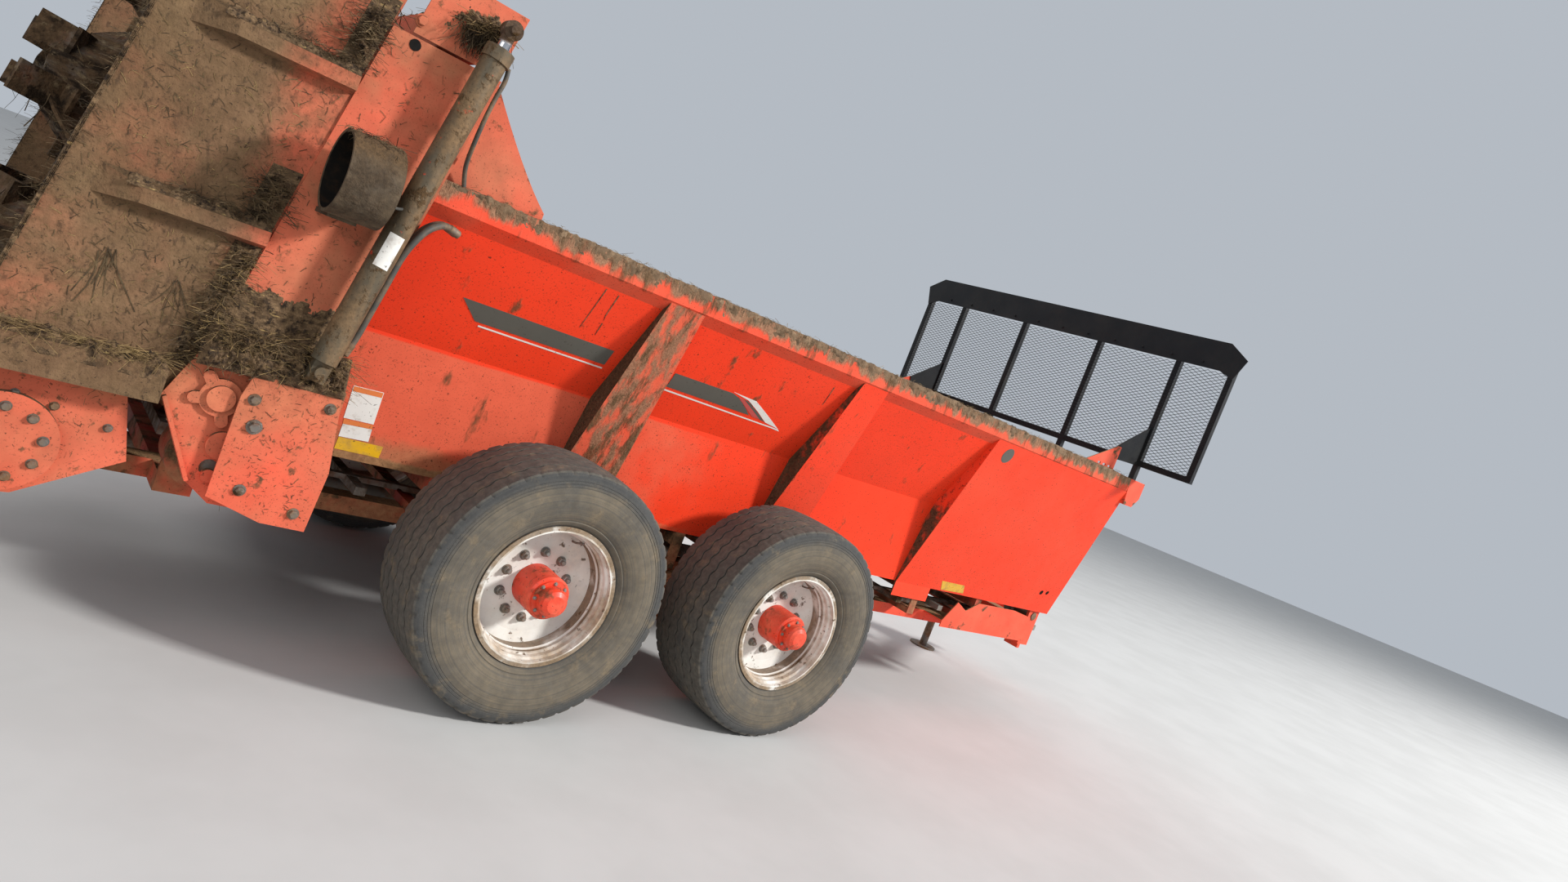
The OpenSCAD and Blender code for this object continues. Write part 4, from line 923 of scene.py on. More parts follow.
@dataclass(frozen=True)
class WheelDress:
    """Nuts, studs, cap bolts and the valve of one wheel."""

    bolts: Tuple[BoltRing, ...] = (
        BoltRing("wheel_nuts_", 10, 0.5, 0.034, 0.14288, 0.031, 1.2, 0.014),
        BoltRing("cap_bolts_", 8, 0.0, 0.194, 0.0682, 0.011))
    valve_at: Spot = (0.10, 0.0, 0.208)
    valve_out: float = 0.038
    valve_r: float = 0.0042
    valve_route: Tuple[Spot, ...] = ((0.0, 0.0, 0.0), (0.003, 0.03, 0.004), (0.012, 0.07, 0.018))

    def build(self, wheel: str) -> None:
        """Builds the small parts of one wheel.

        Args:
            wheel: The wheel's letters, such as fl.
        """
        low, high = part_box("tyre_" + wheel)
        centre = (low + high) / 2
        out = Vector((0, math.copysign(1.0, centre.y), 0))
        for ring in self.bolts:
            shape = Shape(ring.name + wheel)
            for c, s in turns(ring.count, ring.start):
                place = centre + out * ring.face + Vector((c, 0, s)) * ring.circle
                shape.bolt(place, out, ring.across, ring.washer, ring.stud)
            shape.piece("wheel_" + wheel, "forged_steel")
        valve = Shape("valve_" + wheel)
        root = centre + Vector(self.valve_at) + out * self.valve_out
        route = [root + Vector((x, 0, z)) + out * far for x, far, z in self.valve_route]
        valve.tube(smooth_path(route, 4), self.valve_r, 10)
        valve.piece("wheel_" + wheel, "forged_steel")


@dataclass(frozen=True)
class GuardMesh:
    """Expanded metal in the front guard: flat diamonds, long side level."""

    wide: float = 0.051
    tall: float = 0.0235
    strand: float = 0.0026
    thick: float = 0.0022
    slope_from: float = 1.300
    slope: float = 0.388

    def build(self, machine: Machine) -> None:
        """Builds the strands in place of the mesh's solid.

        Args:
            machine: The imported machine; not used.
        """
        low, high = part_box("guard_mesh")
        x = (low.x + high.x) / 2
        columns = int((high.y - low.y) / self.wide * 2)
        rows = int((high.z - low.z) / self.tall * 2)
        shape = Shape("guard_strands")

        def knuckle(i: int, j: int) -> Optional[Vector]:
            """A knuckle of the mesh, or None outside the guard.

            Args:
                i: The knuckle's column.
                j: The knuckle's row.

            Returns:
                The knuckle, or None.
            """
            y = low.y + i * self.wide / 2
            z = low.z + j * self.tall / 2
            top = high.z - max(0.0, abs(y) - self.slope_from) * self.slope
            return Vector((x, y, z)) if y <= high.y and 0 <= j and z <= top else None

        for i in range(columns):
            for j in range(i % 2, rows + 1, 2):
                for rise in (-1, 1):
                    a, b = knuckle(i, j), knuckle(i + 1, j + rise)
                    if a and b:
                        self.bar(shape, a, b)
        made = shape.piece("chassis", "guard_black")
        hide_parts("guard_mesh")

    def bar(self, shape: Shape, a: Vector, b: Vector) -> None:
        """Adds one strand between two knuckles.

        Args:
            shape: The piece that it is added to.
            a: The first knuckle.
            b: The second knuckle.
        """
        along = (b - a).normalized()
        side = along.cross(Vector((1, 0, 0))) * self.strand / 2
        deep = Vector((self.thick / 2, 0, 0))
        reach = along * self.strand * 0.5
        shape.rings([[p + side + deep, p + side - deep, p - side - deep, p - side + deep]
                     for p in (a - reach, b + reach)])


@dataclass(frozen=True)
class Sheet:
    """A leaning face of the box side, between two heights."""

    low: Pair
    high: Pair

    def point(self, machine: Machine, side: Side, x: float, z: float, out: float) -> Vector:
        """A point at a distance out from the face.

        Args:
            machine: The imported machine.
            side: The side that it is on.
            x: Place along the machine.
            z: Height above the ground.
            out: Distance out from the face.

        Returns:
            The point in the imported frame.
        """
        run, rise = self.high[0] - self.low[0], self.high[1] - self.low[1]
        long = math.hypot(run, rise)
        y = self.low[0] + run * (z - self.low[1]) / rise
        return machine.on(side, x, y + out * rise / long, z - out * run / long)


FLARE = Sheet((0.814, 1.310), (1.046, 1.773))
LOWER = Sheet((0.753, 0.790), (0.814, 1.310))
OUTER = Sheet((0.765, 0.790), (1.087, 1.8143))
COLUMN = Sheet((1.1005, 0.870), (1.1005, 2.290))


@dataclass(frozen=True)
class Plate:
    """A thin film on a face, such as print, dried dirt and the near-black discs of painted shade that stand for
    holes: its outline gives X and Z.
    """

    name: str
    face: Sheet
    look: str
    outline: Outline
    lift: float = 0.0004
    thick: float = 0.0009

    def build(self, machine: Machine, side: Side) -> None:
        """Lays the film on one side of the machine.

        Args:
            machine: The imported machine.
            side: The side that it is on.
        """
        shape = Shape(side.label(self.name))
        ring = [self.face.point(machine, side, x, z, self.lift) for x, z in self.outline]
        depth = self.face.point(machine, side, 0, 1, self.thick) - self.face.point(machine, side, 0, 1, 0.0)
        shape.rings([ring, [p + depth for p in ring]])
        shape.piece("chassis", self.look)


def panel(x0: float, x1: float, z0: float, z1: float) -> Outline:
    """The outline of an upright rectangle."""
    return ((x0, z0), (x1, z0), (x1, z1), (x0, z1))


def disc(x: float, z: float, radius: float) -> Outline:
    """The outline of a round plug or hole."""
    return tuple((x + radius * c, z + radius * s) for c, s in turns(24))


@dataclass(frozen=True)
class Stripes:
    """Grey bands with white lines along both sides, and the slashes that end them."""

    both: Tuple[Plate, ...] = (
        Plate("band_rear", FLARE, "stripe_grey",
              ((-1.172, 1.463), (-0.573, 1.466), (-0.571, 1.537), (-1.262, 1.537))),
        Plate("line_rear", FLARE, "stripe_white", panel(-1.151, -0.573, 1.446, 1.452)),
        Plate("band_front", FLARE, "stripe_grey", ((-0.237, 1.464), (0.271, 1.462), (0.232, 1.486),
              (0.190, 1.508), (0.147, 1.527), (0.105, 1.538), (-0.239, 1.536))),
        Plate("line_front", FLARE, "stripe_white",
              ((-0.235, 1.444), (0.440, 1.436), (0.500, 1.433), (0.487, 1.441), (-0.235, 1.451))),
        Plate("slash_red", FLARE, "stripe_red",
              ((0.292, 1.460), (0.343, 1.459), (0.262, 1.496), (0.180, 1.527), (0.146, 1.530))),
        Plate("slash_dark", FLARE, "stripe_grey",
              ((0.347, 1.458), (0.378, 1.456), (0.292, 1.494), (0.205, 1.527), (0.184, 1.528))),
        Plate("slash_white", FLARE, "stripe_white", ((0.386, 1.454), (0.484, 1.443), (0.370, 1.492),
              (0.253, 1.539), (0.104, 1.545), (0.210, 1.530), (0.300, 1.494))),
        Plate("drip_rear", FLARE, "dried_dirt", ((-0.7735, 1.766), (-0.7690, 1.766), (-0.7715, 1.660),
              (-0.7740, 1.582), (-0.7765, 1.582), (-0.7750, 1.660))),
        Plate("drip_middle", FLARE, "dried_dirt",
              ((-0.7100, 1.760), (-0.7050, 1.760), (-0.7040, 1.664), (-0.6990, 1.640), (-0.7075, 1.664))),
        Plate("drip_low", FLARE, "dried_dirt",
              ((-0.7000, 1.630), (-0.6950, 1.630), (-0.6940, 1.574), (-0.6960, 1.574))),
        Plate("drip_front", FLARE, "dried_dirt", ((0.5985, 1.738), (0.6035, 1.738), (0.6120, 1.690),
              (0.6180, 1.635), (0.6150, 1.635), (0.6080, 1.690))),
        Plate("plug", OUTER, "stripe_grey", disc(2.077, 1.741, 0.047)),
        # Near-black discs that stand for holes: painted shade in each hole.
        Plate("hole_rear", OUTER, "lamp_lining", disc(3.377, 0.944, 0.017)),
        Plate("hole_front", OUTER, "lamp_lining", disc(3.445, 0.952, 0.015)),
        Plate("column_hole", COLUMN, "lamp_lining", disc(-1.768, 2.265, 0.019)))
    right: Tuple[Plate, ...] = (
        Plate("label_top", LOWER, "label_white",
              ((-1.472, 0.948), (-1.358, 0.950), (-1.367, 1.083), (-1.482, 1.080))),
        Plate("label_head", LOWER, "label_orange",
              ((-1.4775, 1.058), (-1.3675, 1.061), (-1.3690, 1.081), (-1.4800, 1.078)), 0.0010),
        Plate("label_band", LOWER, "label_orange",
              ((-1.467, 0.925), (-1.356, 0.930), (-1.358, 0.947), (-1.470, 0.945))),
        Plate("label_low", LOWER, "label_white",
              ((-1.464, 0.873), (-1.351, 0.877), (-1.356, 0.929), (-1.466, 0.924))),
        Plate("reflector_rear", LOWER, "reflector_yellow", panel(-1.462, -1.290, 0.822, 0.871)),
        Plate("reflector_front", OUTER, "reflector_yellow",
              ((2.357, 0.799), (2.588, 0.806), (2.548, 0.862), (2.312, 0.860))))

    def build(self, machine: Machine) -> None:
        """Lays the bands and plugs on both sides, and the blank labels and reflectors on the right.

        Args:
            machine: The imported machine.
        """
        for plate in self.both:
            for side in Side:
                plate.build(machine, side)
        for plate in self.right:
            plate.build(machine, Side.RIGHT)


@dataclass(frozen=True)
class Fasteners:
    """Bolts of the shields, base panels, visor and rear columns. Places give X and Z."""

    panel_y: float = 1.050
    panel_bolts: Outline = ((-2.463, 0.840), (-2.363, 0.826), (-2.217, 0.793))
    flange: Pair = (-2.469, 0.695)
    flange_y: float = 1.075
    flange_circle: float = 0.108
    flange_bolts: int = 9
    flange_from: float = 93.0
    shield_y: float = 1.156
    shield_bolts: Tuple[Spot, ...] = ((-1.880, 1.010, 0.024), (-1.855, 0.923, 0.030), (-1.833, 0.707, 0.024),
                                      (-1.650, 0.660, 0.024), (-1.650, 1.040, 0.024))
    panel_across: float = 0.019
    flange_across: float = 0.022
    cheek_across: float = 0.030
    visor_across: float = 0.013
    washer: float = 1.25
    wide_washer: float = 1.45
    cheek: Spot = (-1.774, 1.1005, 2.345)
    visor_step: float = 0.233
    visor_drop: float = 0.160
    visor_ends: float = 0.4
    visor_back: float = 0.0017

    def rows(self) -> List[Tuple[float, float, float, float, float]]:
        """X, Y, Z, width over the flats and washer of each bolt of one side.

        Returns:
            One row for each bolt.
        """
        x0, z0 = self.flange
        angles = [math.radians(self.flange_from - k * 360 / self.flange_bolts) for k in range(self.flange_bolts)]
        return ([(x, self.panel_y, z, self.panel_across, self.washer) for x, z in self.panel_bolts]
                + [(x0 + self.flange_circle * math.cos(a), self.flange_y, z0 + self.flange_circle * math.sin(a),
                    self.flange_across, self.washer) for a in angles]
                + [(x, self.shield_y, z, across, self.wide_washer) for x, z, across in self.shield_bolts])

    def build(self, machine: Machine) -> None:
        """Builds the bolts of both sides and of the visor.

        Args:
            machine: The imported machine.
        """
        shape, cheeks, visor = Shape("frame_bolts"), Shape("cheek_bolts"), Shape("visor_bolts")
        for side in Side:
            for x, y, z, across, washer in self.rows():
                shape.bolt(machine.on(side, x, y, z), side.out, across, washer)
            cheeks.bolt(machine.on(side, *self.cheek), side.out, self.cheek_across)
        shape.piece("chassis", "dull_steel")
        cheeks.piece("gate", "column_red")
        low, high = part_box("guard_frame")
        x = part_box("guard_mesh")[0].x - self.visor_back
        count = int((high.y - low.y - self.visor_ends) / self.visor_step)
        for k in range(count + 1):
            y = -count * self.visor_step / 2 + k * self.visor_step
            visor.bolt(Vector((x, y, high.z - self.visor_drop)), Vector((-1, 0, 0)), self.visor_across)
        visor.piece("chassis", "guard_black")


@dataclass(frozen=True)
class LampInsideShade:
    """A near-black sheet inside each round lamp guard: painted shade in the drum."""

    rear: float = -1.905
    y: float = 1.250
    z: float = 1.791
    radius: float = 0.1246
    deep: Pair = (0.0015, 0.130)
    thick: float = 0.0012
    sides: int = 64

    def build(self, machine: Machine) -> None:
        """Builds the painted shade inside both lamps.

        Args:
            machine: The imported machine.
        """
        shape = Shape("lamp_linings")
        near, far = self.deep
        inner = self.radius - self.thick
        section = ((self.radius, near), (self.radius, far), (inner, far), (inner, near))
        for side in Side:
            middle = side.value * self.y
            shape.rings([[machine.at(self.rear + d, middle + r * c, self.z + r * s) for r, d in section]
                         for c, s in turns(self.sides)], loop=True)
        shape.piece("chassis", "lamp_lining")


@dataclass(frozen=True)
class Hoses:
    """The pair of hoses clipped to the right column, the thin hose up the cylinder and the lamp cables."""

    line_x: float = 1.867
    line_y: float = -1.125
    hose_d: float = 0.026
    pitch: float = 0.028
    route: Tuple[Spot, ...] = (
        (0.145, 0.050, 1.745), (0.085, 0.030, 1.755), (0.038, 0.010, 1.725), (0.012, 0.0, 1.670),
        (0.0, 0.0, 1.600), (0.0, 0.0, 1.500), (0.0, 0.0, 1.400), (0.0, 0.0, 1.300), (-0.010, -0.010, 1.235))
    crimp: Outline = ((0.0142, 0.0), (0.0152, 0.003), (0.0152, 0.022), (0.0145, 0.024), (0.0152, 0.026),
                      (0.0152, 0.042), (0.0140, 0.045))
    rod_x: float = 1.932
    rod_y: float = 1.190
    thin: Tuple[Spot, ...] = (
        (0.150, 1.960, -0.10), (0.115, 2.020, -0.08), (0.085, 2.090, -0.03), (0.066, 2.170, 0.0),
        (0.062, 2.250, 0.0), (0.062, 2.320, 0.0), (0.052, 2.365, 0.0))
    cable: Tuple[Spot, ...] = (
        (-1.742, 1.250, 1.760), (-1.700, 1.240, 1.748), (-1.655, 1.200, 1.760), (-1.640, 1.150, 1.790),
        (-1.640, 1.106, 1.800))
    thin_r: float = 0.008
    cable_r: float = 0.005
    label_r: float = 0.0436
    label_thick: float = 0.0012
    label_turns: Tuple[int, ...] = (-42, -32, -22, -12, -2, 8, 18, 28)
    label_up: Spot = (1.570, 1.630, 1.690)

    def along_rod(self, machine: Machine, side: Side, ahead: float, up: float, out: float = 0.0) -> Vector:
        """A point beside the lift cylinder, at a distance up along its lean."""
        c, s = math.cos(machine.lean), math.sin(machine.lean)
        return machine.on(side, -self.rod_x + ahead * c + up * s, self.rod_y + out, up * c - ahead * s)

    def build(self, machine: Machine) -> None:
        """Builds the hoses, their crimped ends and the cables.

        Args:
            machine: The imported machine.
        """
        pair, ends, thin, cables = (Shape(n) for n in ("hose_pair", "hose_ends", "thin_hoses", "lamp_cables"))
        for shift in (0.0, -self.pitch):
            path = smooth_path([machine.at(-self.line_x + z * math.tan(machine.lean) + dx,
                                           self.line_y + dy + shift, z) for dx, dy, z in self.route])
            pair.tube(path, self.hose_d / 2, 16)
            for a, b in ((path[0], path[3]), (path[-1], path[-4])):
                way = (b - a).normalized()
                ends.lathe(self.crimp, a - way * 0.004, way, 16)
        made = pair.piece("chassis", "hose_grey")
        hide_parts("hoses")
        ends.piece("chassis", "dull_steel")
        for side in Side:
            path = smooth_path([self.along_rod(machine, side, *place) for place in self.thin])
            thin.tube(path, self.thin_r, 12)
            cables.tube(smooth_path([machine.on(side, *place) for place in self.cable]), self.cable_r, 10)
        thin.piece("chassis", "hose_grey")
        cables.piece("chassis", "hose_grey")
        label = Shape("cylinder_label")
        angles = [math.radians(a) for a in self.label_turns]
        rings = [[self.along_rod(machine, Side.RIGHT, self.label_r * math.sin(a), up, self.label_r * math.cos(a))
                  for a in angles] for up in self.label_up]
        thick = Vector((0, self.label_thick, 0))
        label.rings([r + [p + thick for p in reversed(r)] for r in rings])
        label.piece("chassis", "label_white")


@dataclass(frozen=True)
class Crust:
    """A crumbly crust over a face. Place gives a point and the way out of the face for s and t."""

    name: str
    place: Callable[[float, float], Tuple[Vector, Vector]]
    counts: Tuple[int, int]
    depth: float
    cover: Callable[[float, float], float]
    cell: float = 0.05
    body: str = "chassis"
    look: str = "dried_dirt"
    sunk: float = 0.0015
    under: float = 0.004
    end_fade: float = 0.04
    edge_fade: float = 0.10
    full: float = 0.9

    def thickness(self, p: Vector, s: float, t: float) -> float:
        """How far the crust stands out at a point, or below the face where there is none.

        Args:
            p: The point.
            s: How far along, from 0 to 1.
            t: How far across, from 0 to 1.

        Returns:
            The height over the face, in metres.
        """
        rough = noise.fractal(p / self.cell, 0.6, 2.1, 5) * 0.5
        fine = noise.noise(p / (self.cell * 0.13)) * 0.16
        border = min(s, 1 - s, self.end_fade) / self.end_fade
        fade = min(t, 1 - t, self.edge_fade) / self.edge_fade
        value = rough + fine + self.cover(s, t)
        if value <= 0 or border * fade <= 0:
            return -self.sunk
        return min(value, self.full) * self.depth * math.sqrt(border * fade) - self.sunk

    def build(self) -> None:
        """Builds the crust as a closed skin that is sunk where the face is bare."""
        along, across = self.counts
        rings = []
        for s in (i / along for i in range(along + 1)):
            upper, lower = [], []
            for t in (j / across for j in range(across + 1)):
                p, out = self.place(s, t)
                upper.append(p + out * self.thickness(p, s, t))
                lower.append(p - out * self.under)
            rings.append(upper + list(reversed(lower)))
        shape = Shape(self.name)
        shape.rings(rings)
        shape.piece(self.body, self.look, angle=50.0)


@dataclass(frozen=True)
class Strip:
    """A band along one side that a crust or straw covers, in machine metres.

    Start and end give X on the inner edge, inner and outer give Y and Z of the two edges, and a
    leaning strip adds the rear frame's lean to X at each height.
    """

    name: str
    start: float
    end: float
    inner: Pair
    outer: Pair
    bias: float
    depth: float
    counts: Tuple[int, int]
    ragged: float = 0.0
    body: str = "chassis"
    leans: bool = True

    def cover(self, s: float, t: float) -> float:
        """How much of the crust stays at a point: less near the borders of a ragged one."""
        border = min(1.0, min(s, 1 - s, t, 1 - t) / 0.34)
        return self.bias + 0.10 * math.sin(s * 23) - self.ragged * (1 - border)

    def place(self, machine: Machine, side: Side, s: float, t: float) -> Tuple[Vector, Vector]:
        """A point of the strip and the way out of it.

        Args:
            machine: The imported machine.
            side: The side that it is on.
            s: How far along, from 0 to 1.
            t: How far across, from 0 to 1.

        Returns:
            The point and the way out.
        """
        y, z = (a + (b - a) * t for a, b in zip(self.inner, self.outer))
        x = self.start + (self.end - self.start) * s + (z * math.tan(machine.lean) if self.leans else 0)
        run, rise = (b - a for a, b in zip(self.inner, self.outer))
        slope = Vector((0, side.value * run, rise)).normalized()
        out = Vector((1, 0, 0)).cross(slope)
        return machine.on(side, x, y, z), (out if out.y * side.value + out.z > 0 else -out)

    def build(self, machine: Machine, side: Side) -> None:
        """Builds the crust of one side."""
        Crust(side.label(self.name), lambda s, t: self.place(machine, side, s, t), self.counts, self.depth,
              self.cover, body=self.body).build()


@dataclass(frozen=True)
class Straws:
    """Bent straws and fibres in a box on one side, in machine metres.

    Flat ones lie against the side's faces, leaning boxes follow the rear frame, and gathered ones
    lie thickest in the middle.
    """

    name: str
    low: Spot
    high: Spot
    count: int
    long: Pair = (0.03, 0.10)
    wide: Pair = (0.0010, 0.0026)
    look: str = "dark_fibre"
    body: str = "chassis"
    leans: bool = True
    flat: bool = False
    gathers: bool = False
    falls: bool = False

    def way(self, rng: random.Random) -> Vector:
        """The way in which one straw points.

        Args:
            rng: The straws' random numbers.

        Returns:
            A unit vector.
        """
        if self.falls:
            return Vector((rng.gauss(0, 0.45), rng.uniform(0, 0.04), -1)).normalized()
        a = rng.uniform(0, math.tau)
        rise = rng.uniform(-0.3, 0.5)
        return Vector((math.cos(a), 0, math.sin(a)) if self.flat else (math.cos(a), math.sin(a), rise)).normalized()

    def blade(self, shape: Shape, root: Vector, way: Vector, rng: random.Random) -> None:
        """Adds one bent straw.

        Args:
            shape: The piece that it is added to.
            root: The point that the straw starts from.
            way: The way in which it points.
            rng: The straws' random numbers.
        """
        long, wide = rng.uniform(*self.long), rng.uniform(*self.wide)
        curl = Vector((rng.uniform(-1, 1), 0 if self.flat else rng.uniform(-1, 1), rng.uniform(-1, 0.2))) * 0.5
        side = way.cross(Vector((0, 1, 0)) if self.flat else UP).normalized() * wide / 2
        lift = side.cross(way).normalized() * wide / 2
        rings = []
        parts = 3 if long > 0.045 else 2
        for t in (k / parts for k in range(parts + 1)):
            p = root + way * long * t + curl * long * t * t
            rings.append([p + side, p + lift, p - side])
        shape.rings(rings)

    def build(self, machine: Machine, side: Side) -> None:
        """Builds the straws of one side.

        Args:
            machine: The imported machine.
            side: The side that it is on.
        """
        rng = random.Random(f"{self.name}{side.name}")
        shape = Shape(side.label(self.name))
        spread = rng.triangular if self.gathers else rng.uniform
        picks = list(zip((spread, rng.uniform, spread), self.low, self.high))
        for _ in range(self.count):
            x, y, z = (pick(low, high) for pick, low, high in picks)
            shift = z * math.tan(machine.lean) if self.leans else 0.0
            self.blade(shape, machine.on(side, x + shift, y, z), self.way(rng), rng)
        shape.piece(self.body, self.look)


BROAD: Pair = (0.0015, 0.004)
FINE: Pair = (0.0008, 0.0018)
SLIM: Pair = (0.0008, 0.0020)
STRIPS = (
    Strip("ledge_crust", -2.776, -2.305, (1.092, 1.053), (1.148, 1.033), 0.42, 0.034, (150, 14)),
    Strip("ledge_face", -2.780, -2.310, (1.147, 1.036), (1.149, 0.990), 0.05, 0.010, (120, 12)),
    Strip("rib_low", -2.640, -2.245, (1.092, 1.564), (1.141, 1.535), 0.22, 0.026, (150, 12)),
    Strip("rib_high", -2.640, -2.245, (1.092, 2.122), (1.141, 2.093), 0.22, 0.026, (150, 12)),
    Strip("shield_mat", -2.070, -1.618, (1.101, 1.215), (1.156, 1.080), 0.55, 0.050, (150, 30), leans=False),
    Strip("foot_mat", -2.275, -1.900, (1.101, 1.370), (1.103, 1.180), 0.36, 0.018, (90, 26), 0.6),
    Strip("edge_mat", -2.315, -2.234, (1.094, 1.480), (1.100, 1.040), 0.42, 0.040, (26, 90), 0.5),
    Strip("clump_mat", -2.330, -2.238, (1.094, 1.740), (1.097, 1.535), 0.40, 0.044, (34, 50), 1.1),
    Strip("clump_high_mat", -2.320, -2.238, (1.094, 2.370), (1.097, 2.095), 0.36, 0.044, (32, 64), 1.1),
    Strip("ear_mat", -2.110, -1.872, (1.101, 2.490), (1.101, 2.350), 0.42, 0.040, (64, 36), 1.1, "gate"),
    Strip("rear_edge", -2.800, -2.786, (1.093, 2.560), (1.094, 0.940), 0.10, 0.018, (8, 330)),
    Strip("beam_crust", -2.078, -1.952, (0.0, 2.4405), (1.086, 2.4405), 0.24, 0.022, (18, 120), body="gate"))
STRAWS = (
    Straws("ledge_straw", (-2.76, 1.094, 1.045), (-2.32, 1.150, 1.065), 420, look="straw"),
    Straws("mat_straw", (-2.06, 1.105, 1.100), (-1.63, 1.165, 1.225), 620, look="straw", leans=False),
    Straws("mat_fibre", (-2.06, 1.105, 1.090), (-1.63, 1.170, 1.225), 420, leans=False),
    Straws("edge_straw", (-2.300, 1.096, 1.060), (-2.235, 1.125, 1.460), 260, (0.02, 0.07), look="straw"),
    Straws("edge_fibre", (-2.310, 1.096, 1.060), (-2.235, 1.130, 1.460), 420, (0.02, 0.07), BROAD),
    Straws("clump_fibre", (-2.380, 1.096, 1.540), (-2.215, 1.130, 1.740), 300, (0.02, 0.07), BROAD, gathers=True),
    Straws("clump_high", (-2.360, 1.096, 2.100), (-2.215, 1.130, 2.360), 330, (0.02, 0.07), BROAD, gathers=True),
    Straws("rib_straw", (-2.52, 1.094, 1.545), (-2.26, 1.130, 1.580), 160, (0.02, 0.06)),
    Straws("rib_high_straw", (-2.52, 1.094, 2.105), (-2.26, 1.130, 2.140), 160, (0.02, 0.06)),
    Straws("roots_rear", (-2.610, 1.0935, 1.300), (-2.570, 1.0960, 1.335), 13, (0.06, 0.17), BROAD,
           flat=True, falls=True),
    Straws("roots_front", (-2.415, 1.0935, 1.270), (-2.370, 1.0960, 1.310), 7, (0.06, 0.17), BROAD,
           flat=True, falls=True),
    Straws("ear_straw", (-2.080, 1.102, 2.380), (-1.890, 1.130, 2.455), 220, (0.02, 0.06), BROAD, "straw", "gate",
           gathers=True),
    Straws("ear_fibre", (-2.080, 1.102, 2.370), (-1.885, 1.135, 2.450), 340, (0.02, 0.08), BROAD, body="gate",
           gathers=True, falls=True),
    Straws("lamp_straw", (-1.900, 1.200, 1.918), (-1.750, 1.300, 1.930), 160, (0.02, 0.06), (0.0012, 0.003),
           leans=False),
    Straws("rear_fibre", (-2.806, 1.080, 0.95), (-2.780, 1.096, 2.55), 600, (0.015, 0.05)),
    Straws("housing_fibre", (-2.76, 1.0930, 1.08), (-2.25, 1.0936, 2.48), 800, (0.008, 0.030), SLIM, flat=True),
    Straws("housing_straw", (-2.76, 1.0930, 1.08), (-2.25, 1.0936, 2.48), 420, (0.008, 0.030), SLIM, "straw",
           flat=True),
    Straws("column_fibre", (-2.21, 1.1013, 1.15), (-1.88, 1.1020, 2.25), 260, (0.006, 0.022), FINE, flat=True),
    Straws("base_fibre", (-2.55, 1.0593, 0.62), (-2.25, 1.0600, 0.90), 60, (0.006, 0.02), (0.0008, 0.0016),
           leans=False, flat=True),
    Straws("shield_fibre", (-1.90, 1.1573, 0.64), (-1.62, 1.1580, 1.06), 150, (0.006, 0.02), FINE,
           leans=False, flat=True),
    Straws("rail_straw", (-1.50, 1.005, 1.909), (3.38, 1.090, 1.918), 600, (0.015, 0.045), look="straw",
           leans=False),
    Straws("beam_straw", (-2.07, 0.05, 2.442), (-1.96, 1.080, 2.455), 220, look="straw", body="gate"))


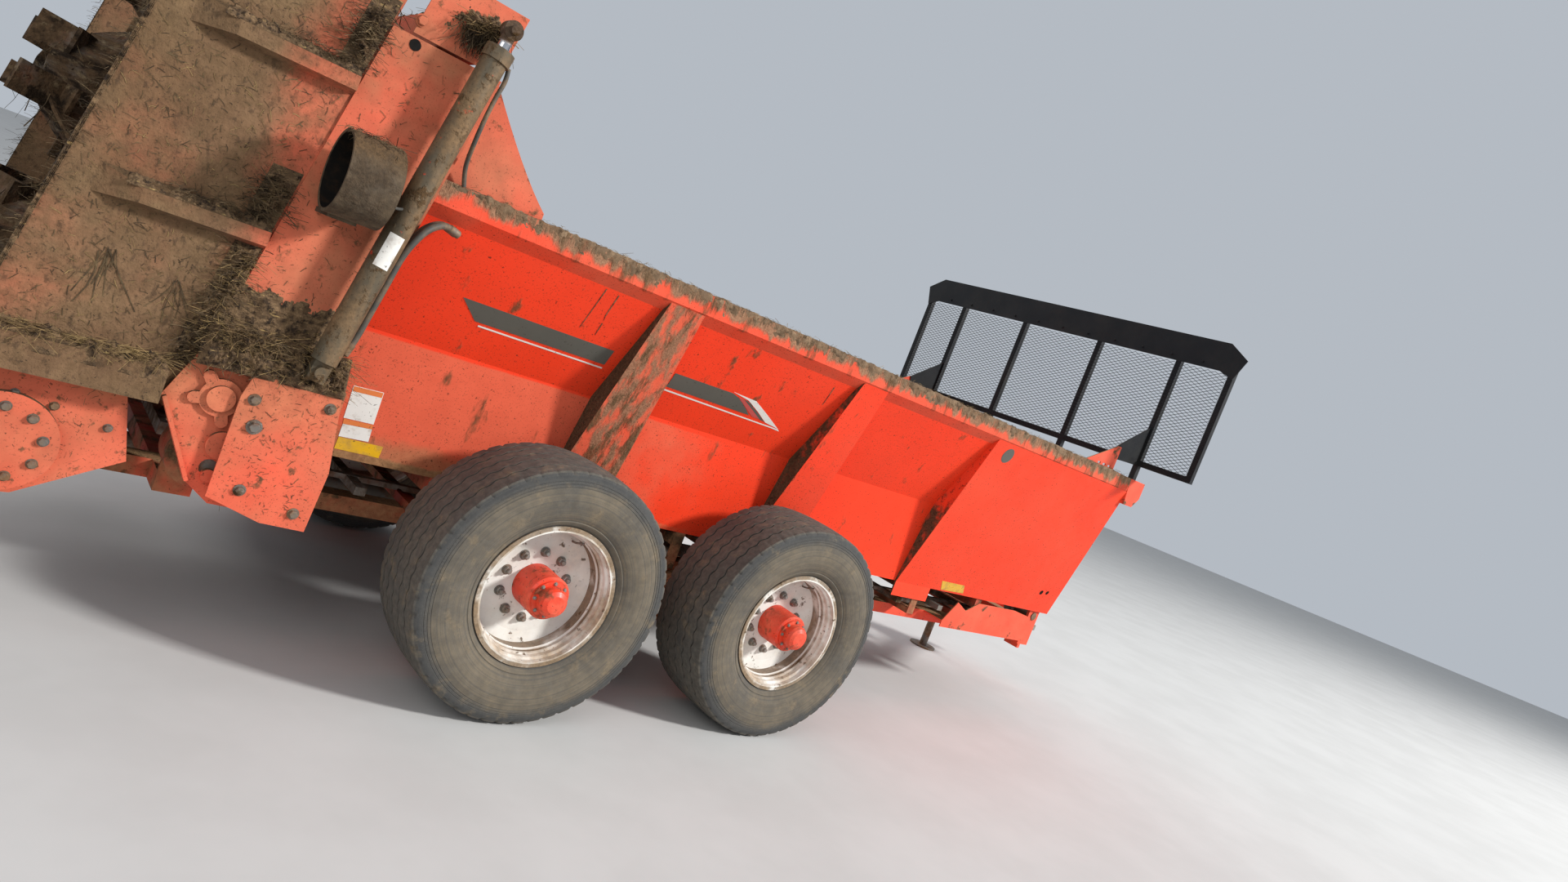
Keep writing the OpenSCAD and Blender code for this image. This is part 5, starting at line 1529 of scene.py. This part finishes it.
@dataclass(frozen=True)
class Dirt:
    """Dried dirt: crusts on the rails, ledges and ribs, with straw in the corners and on the faces."""

    counts: Tuple[int, int] = (660, 18)
    depth: float = 0.014
    run: float = 0.170
    bend: float = 0.012

    def rail(self, machine: Machine, side: Side) -> Crust:
        """The crust along the top of one rail, hanging over its outer edge.

        Args:
            machine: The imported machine.
            side: The side that it is on.

        Returns:
            The crust.
        """
        low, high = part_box("top_rails")

        def place(s: float, t: float) -> Tuple[Vector, Vector]:
            """A point of the rail's top or outer face, and the way out of it.

            Args:
                s: How far along, from 0 to 1.
                t: How far across, from 0 to 1.

            Returns:
                The point and the way out.
            """
            x = low.x + 0.03 + (high.x - low.x - 0.05) * s
            run = t * self.run
            if run < machine.rail_w:
                y = machine.rail_half - machine.rail_w + run
                return Vector((x, side.value * y, machine.rail_top_z)), Vector((0, 0, 1))
            turn = min(1.0, (run - machine.rail_w) / self.bend)
            out = Vector((0, side.value * turn, 1 - turn)).normalized()
            return Vector((x, side.value * machine.rail_half, machine.rail_top_z - (run - machine.rail_w))), out

        def cover(s: float, t: float) -> float:
            """How much of the crust stays: less down the outer face."""
            drip = max(0.0, t - 0.50) * 1.5
            return 0.24 + 0.14 * math.sin(s * math.pi) - drip + 0.05 * math.sin(s * 57)

        return Crust(side.label("rail_crust"), place, self.counts, self.depth, cover, cell=0.045, look="rail_dirt")

    def build(self, machine: Machine) -> None:
        """Builds all the dirt on both sides.

        Args:
            machine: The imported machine.
        """
        for side in Side:
            self.rail(machine, side).build()
            for spot in STRIPS + STRAWS:
                spot.build(machine, side)


@dataclass(frozen=True)
class Caught:
    """Straws caught on the inner faces of a beater."""

    node: str
    body: str
    count: int = 520
    reach: float = 0.86
    long: Pair = (0.03, 0.09)

    def build(self, node: bpy.types.Object) -> None:
        """Roots the straws on the beater's faces, and lets them ride with it.

        Args:
            node: The beater's CAD node.
        """
        rng = random.Random(self.node)
        low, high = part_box(self.node)
        middle = (low + high) / 2
        half = (high.y - low.y) / 2
        faces = [node.matrix_world @ f.center for f in node.data.polygons]
        faces = [p for p in faces if math.hypot(p.x - middle.x, p.y - middle.y) < half * self.reach]
        shape = Shape(f"{self.node}_straw")
        blades = Straws(shape.name, (0, 0, 0), (0, 0, 0), 0, self.long, BROAD)
        for _ in range(self.count):
            way = Vector((rng.gauss(0, 0.5), rng.gauss(0, 0.5), -1)).normalized()
            blades.blade(shape, rng.choice(faces) + Vector((0, 0, 0.01)), way, rng)
        shape.piece(self.body, "dark_fibre", slot="steel")


def dress(nodes: Dict[str, bpy.types.Object]) -> None:
    """Gives every CAD node the finish of its name, or of its kind of wheel part.

    Args:
        nodes: The CAD nodes by name.
    """
    wears = {node: look for look in LOOKS.values() for node in look.nodes.split()}
    for name, node in nodes.items():
        look = wears.get(name) or wears[name.split("_")[0]]
        node.data.materials.clear()
        node.data.materials.append(look.build())
        LOG.info("%s wears %s", name, look.name)


def main() -> None:
    logging.basicConfig(level=logging.INFO, format="%(name)s %(message)s")
    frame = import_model()
    machine = Machine.packed()
    Studio().build(machine)
    dress(frame["nodes"])
    for wheel in WHEELS:
        Tyre().build(wheel)
        WheelDress().build(wheel)
    for part in (GuardMesh(), Stripes(), Fasteners(), LampInsideShade(), Hoses(), Dirt()):
        part.build(machine)
    for name, body in BEATERS:
        Caught(name, body).build(frame["nodes"][name])


if __name__ == "__main__":
    main()
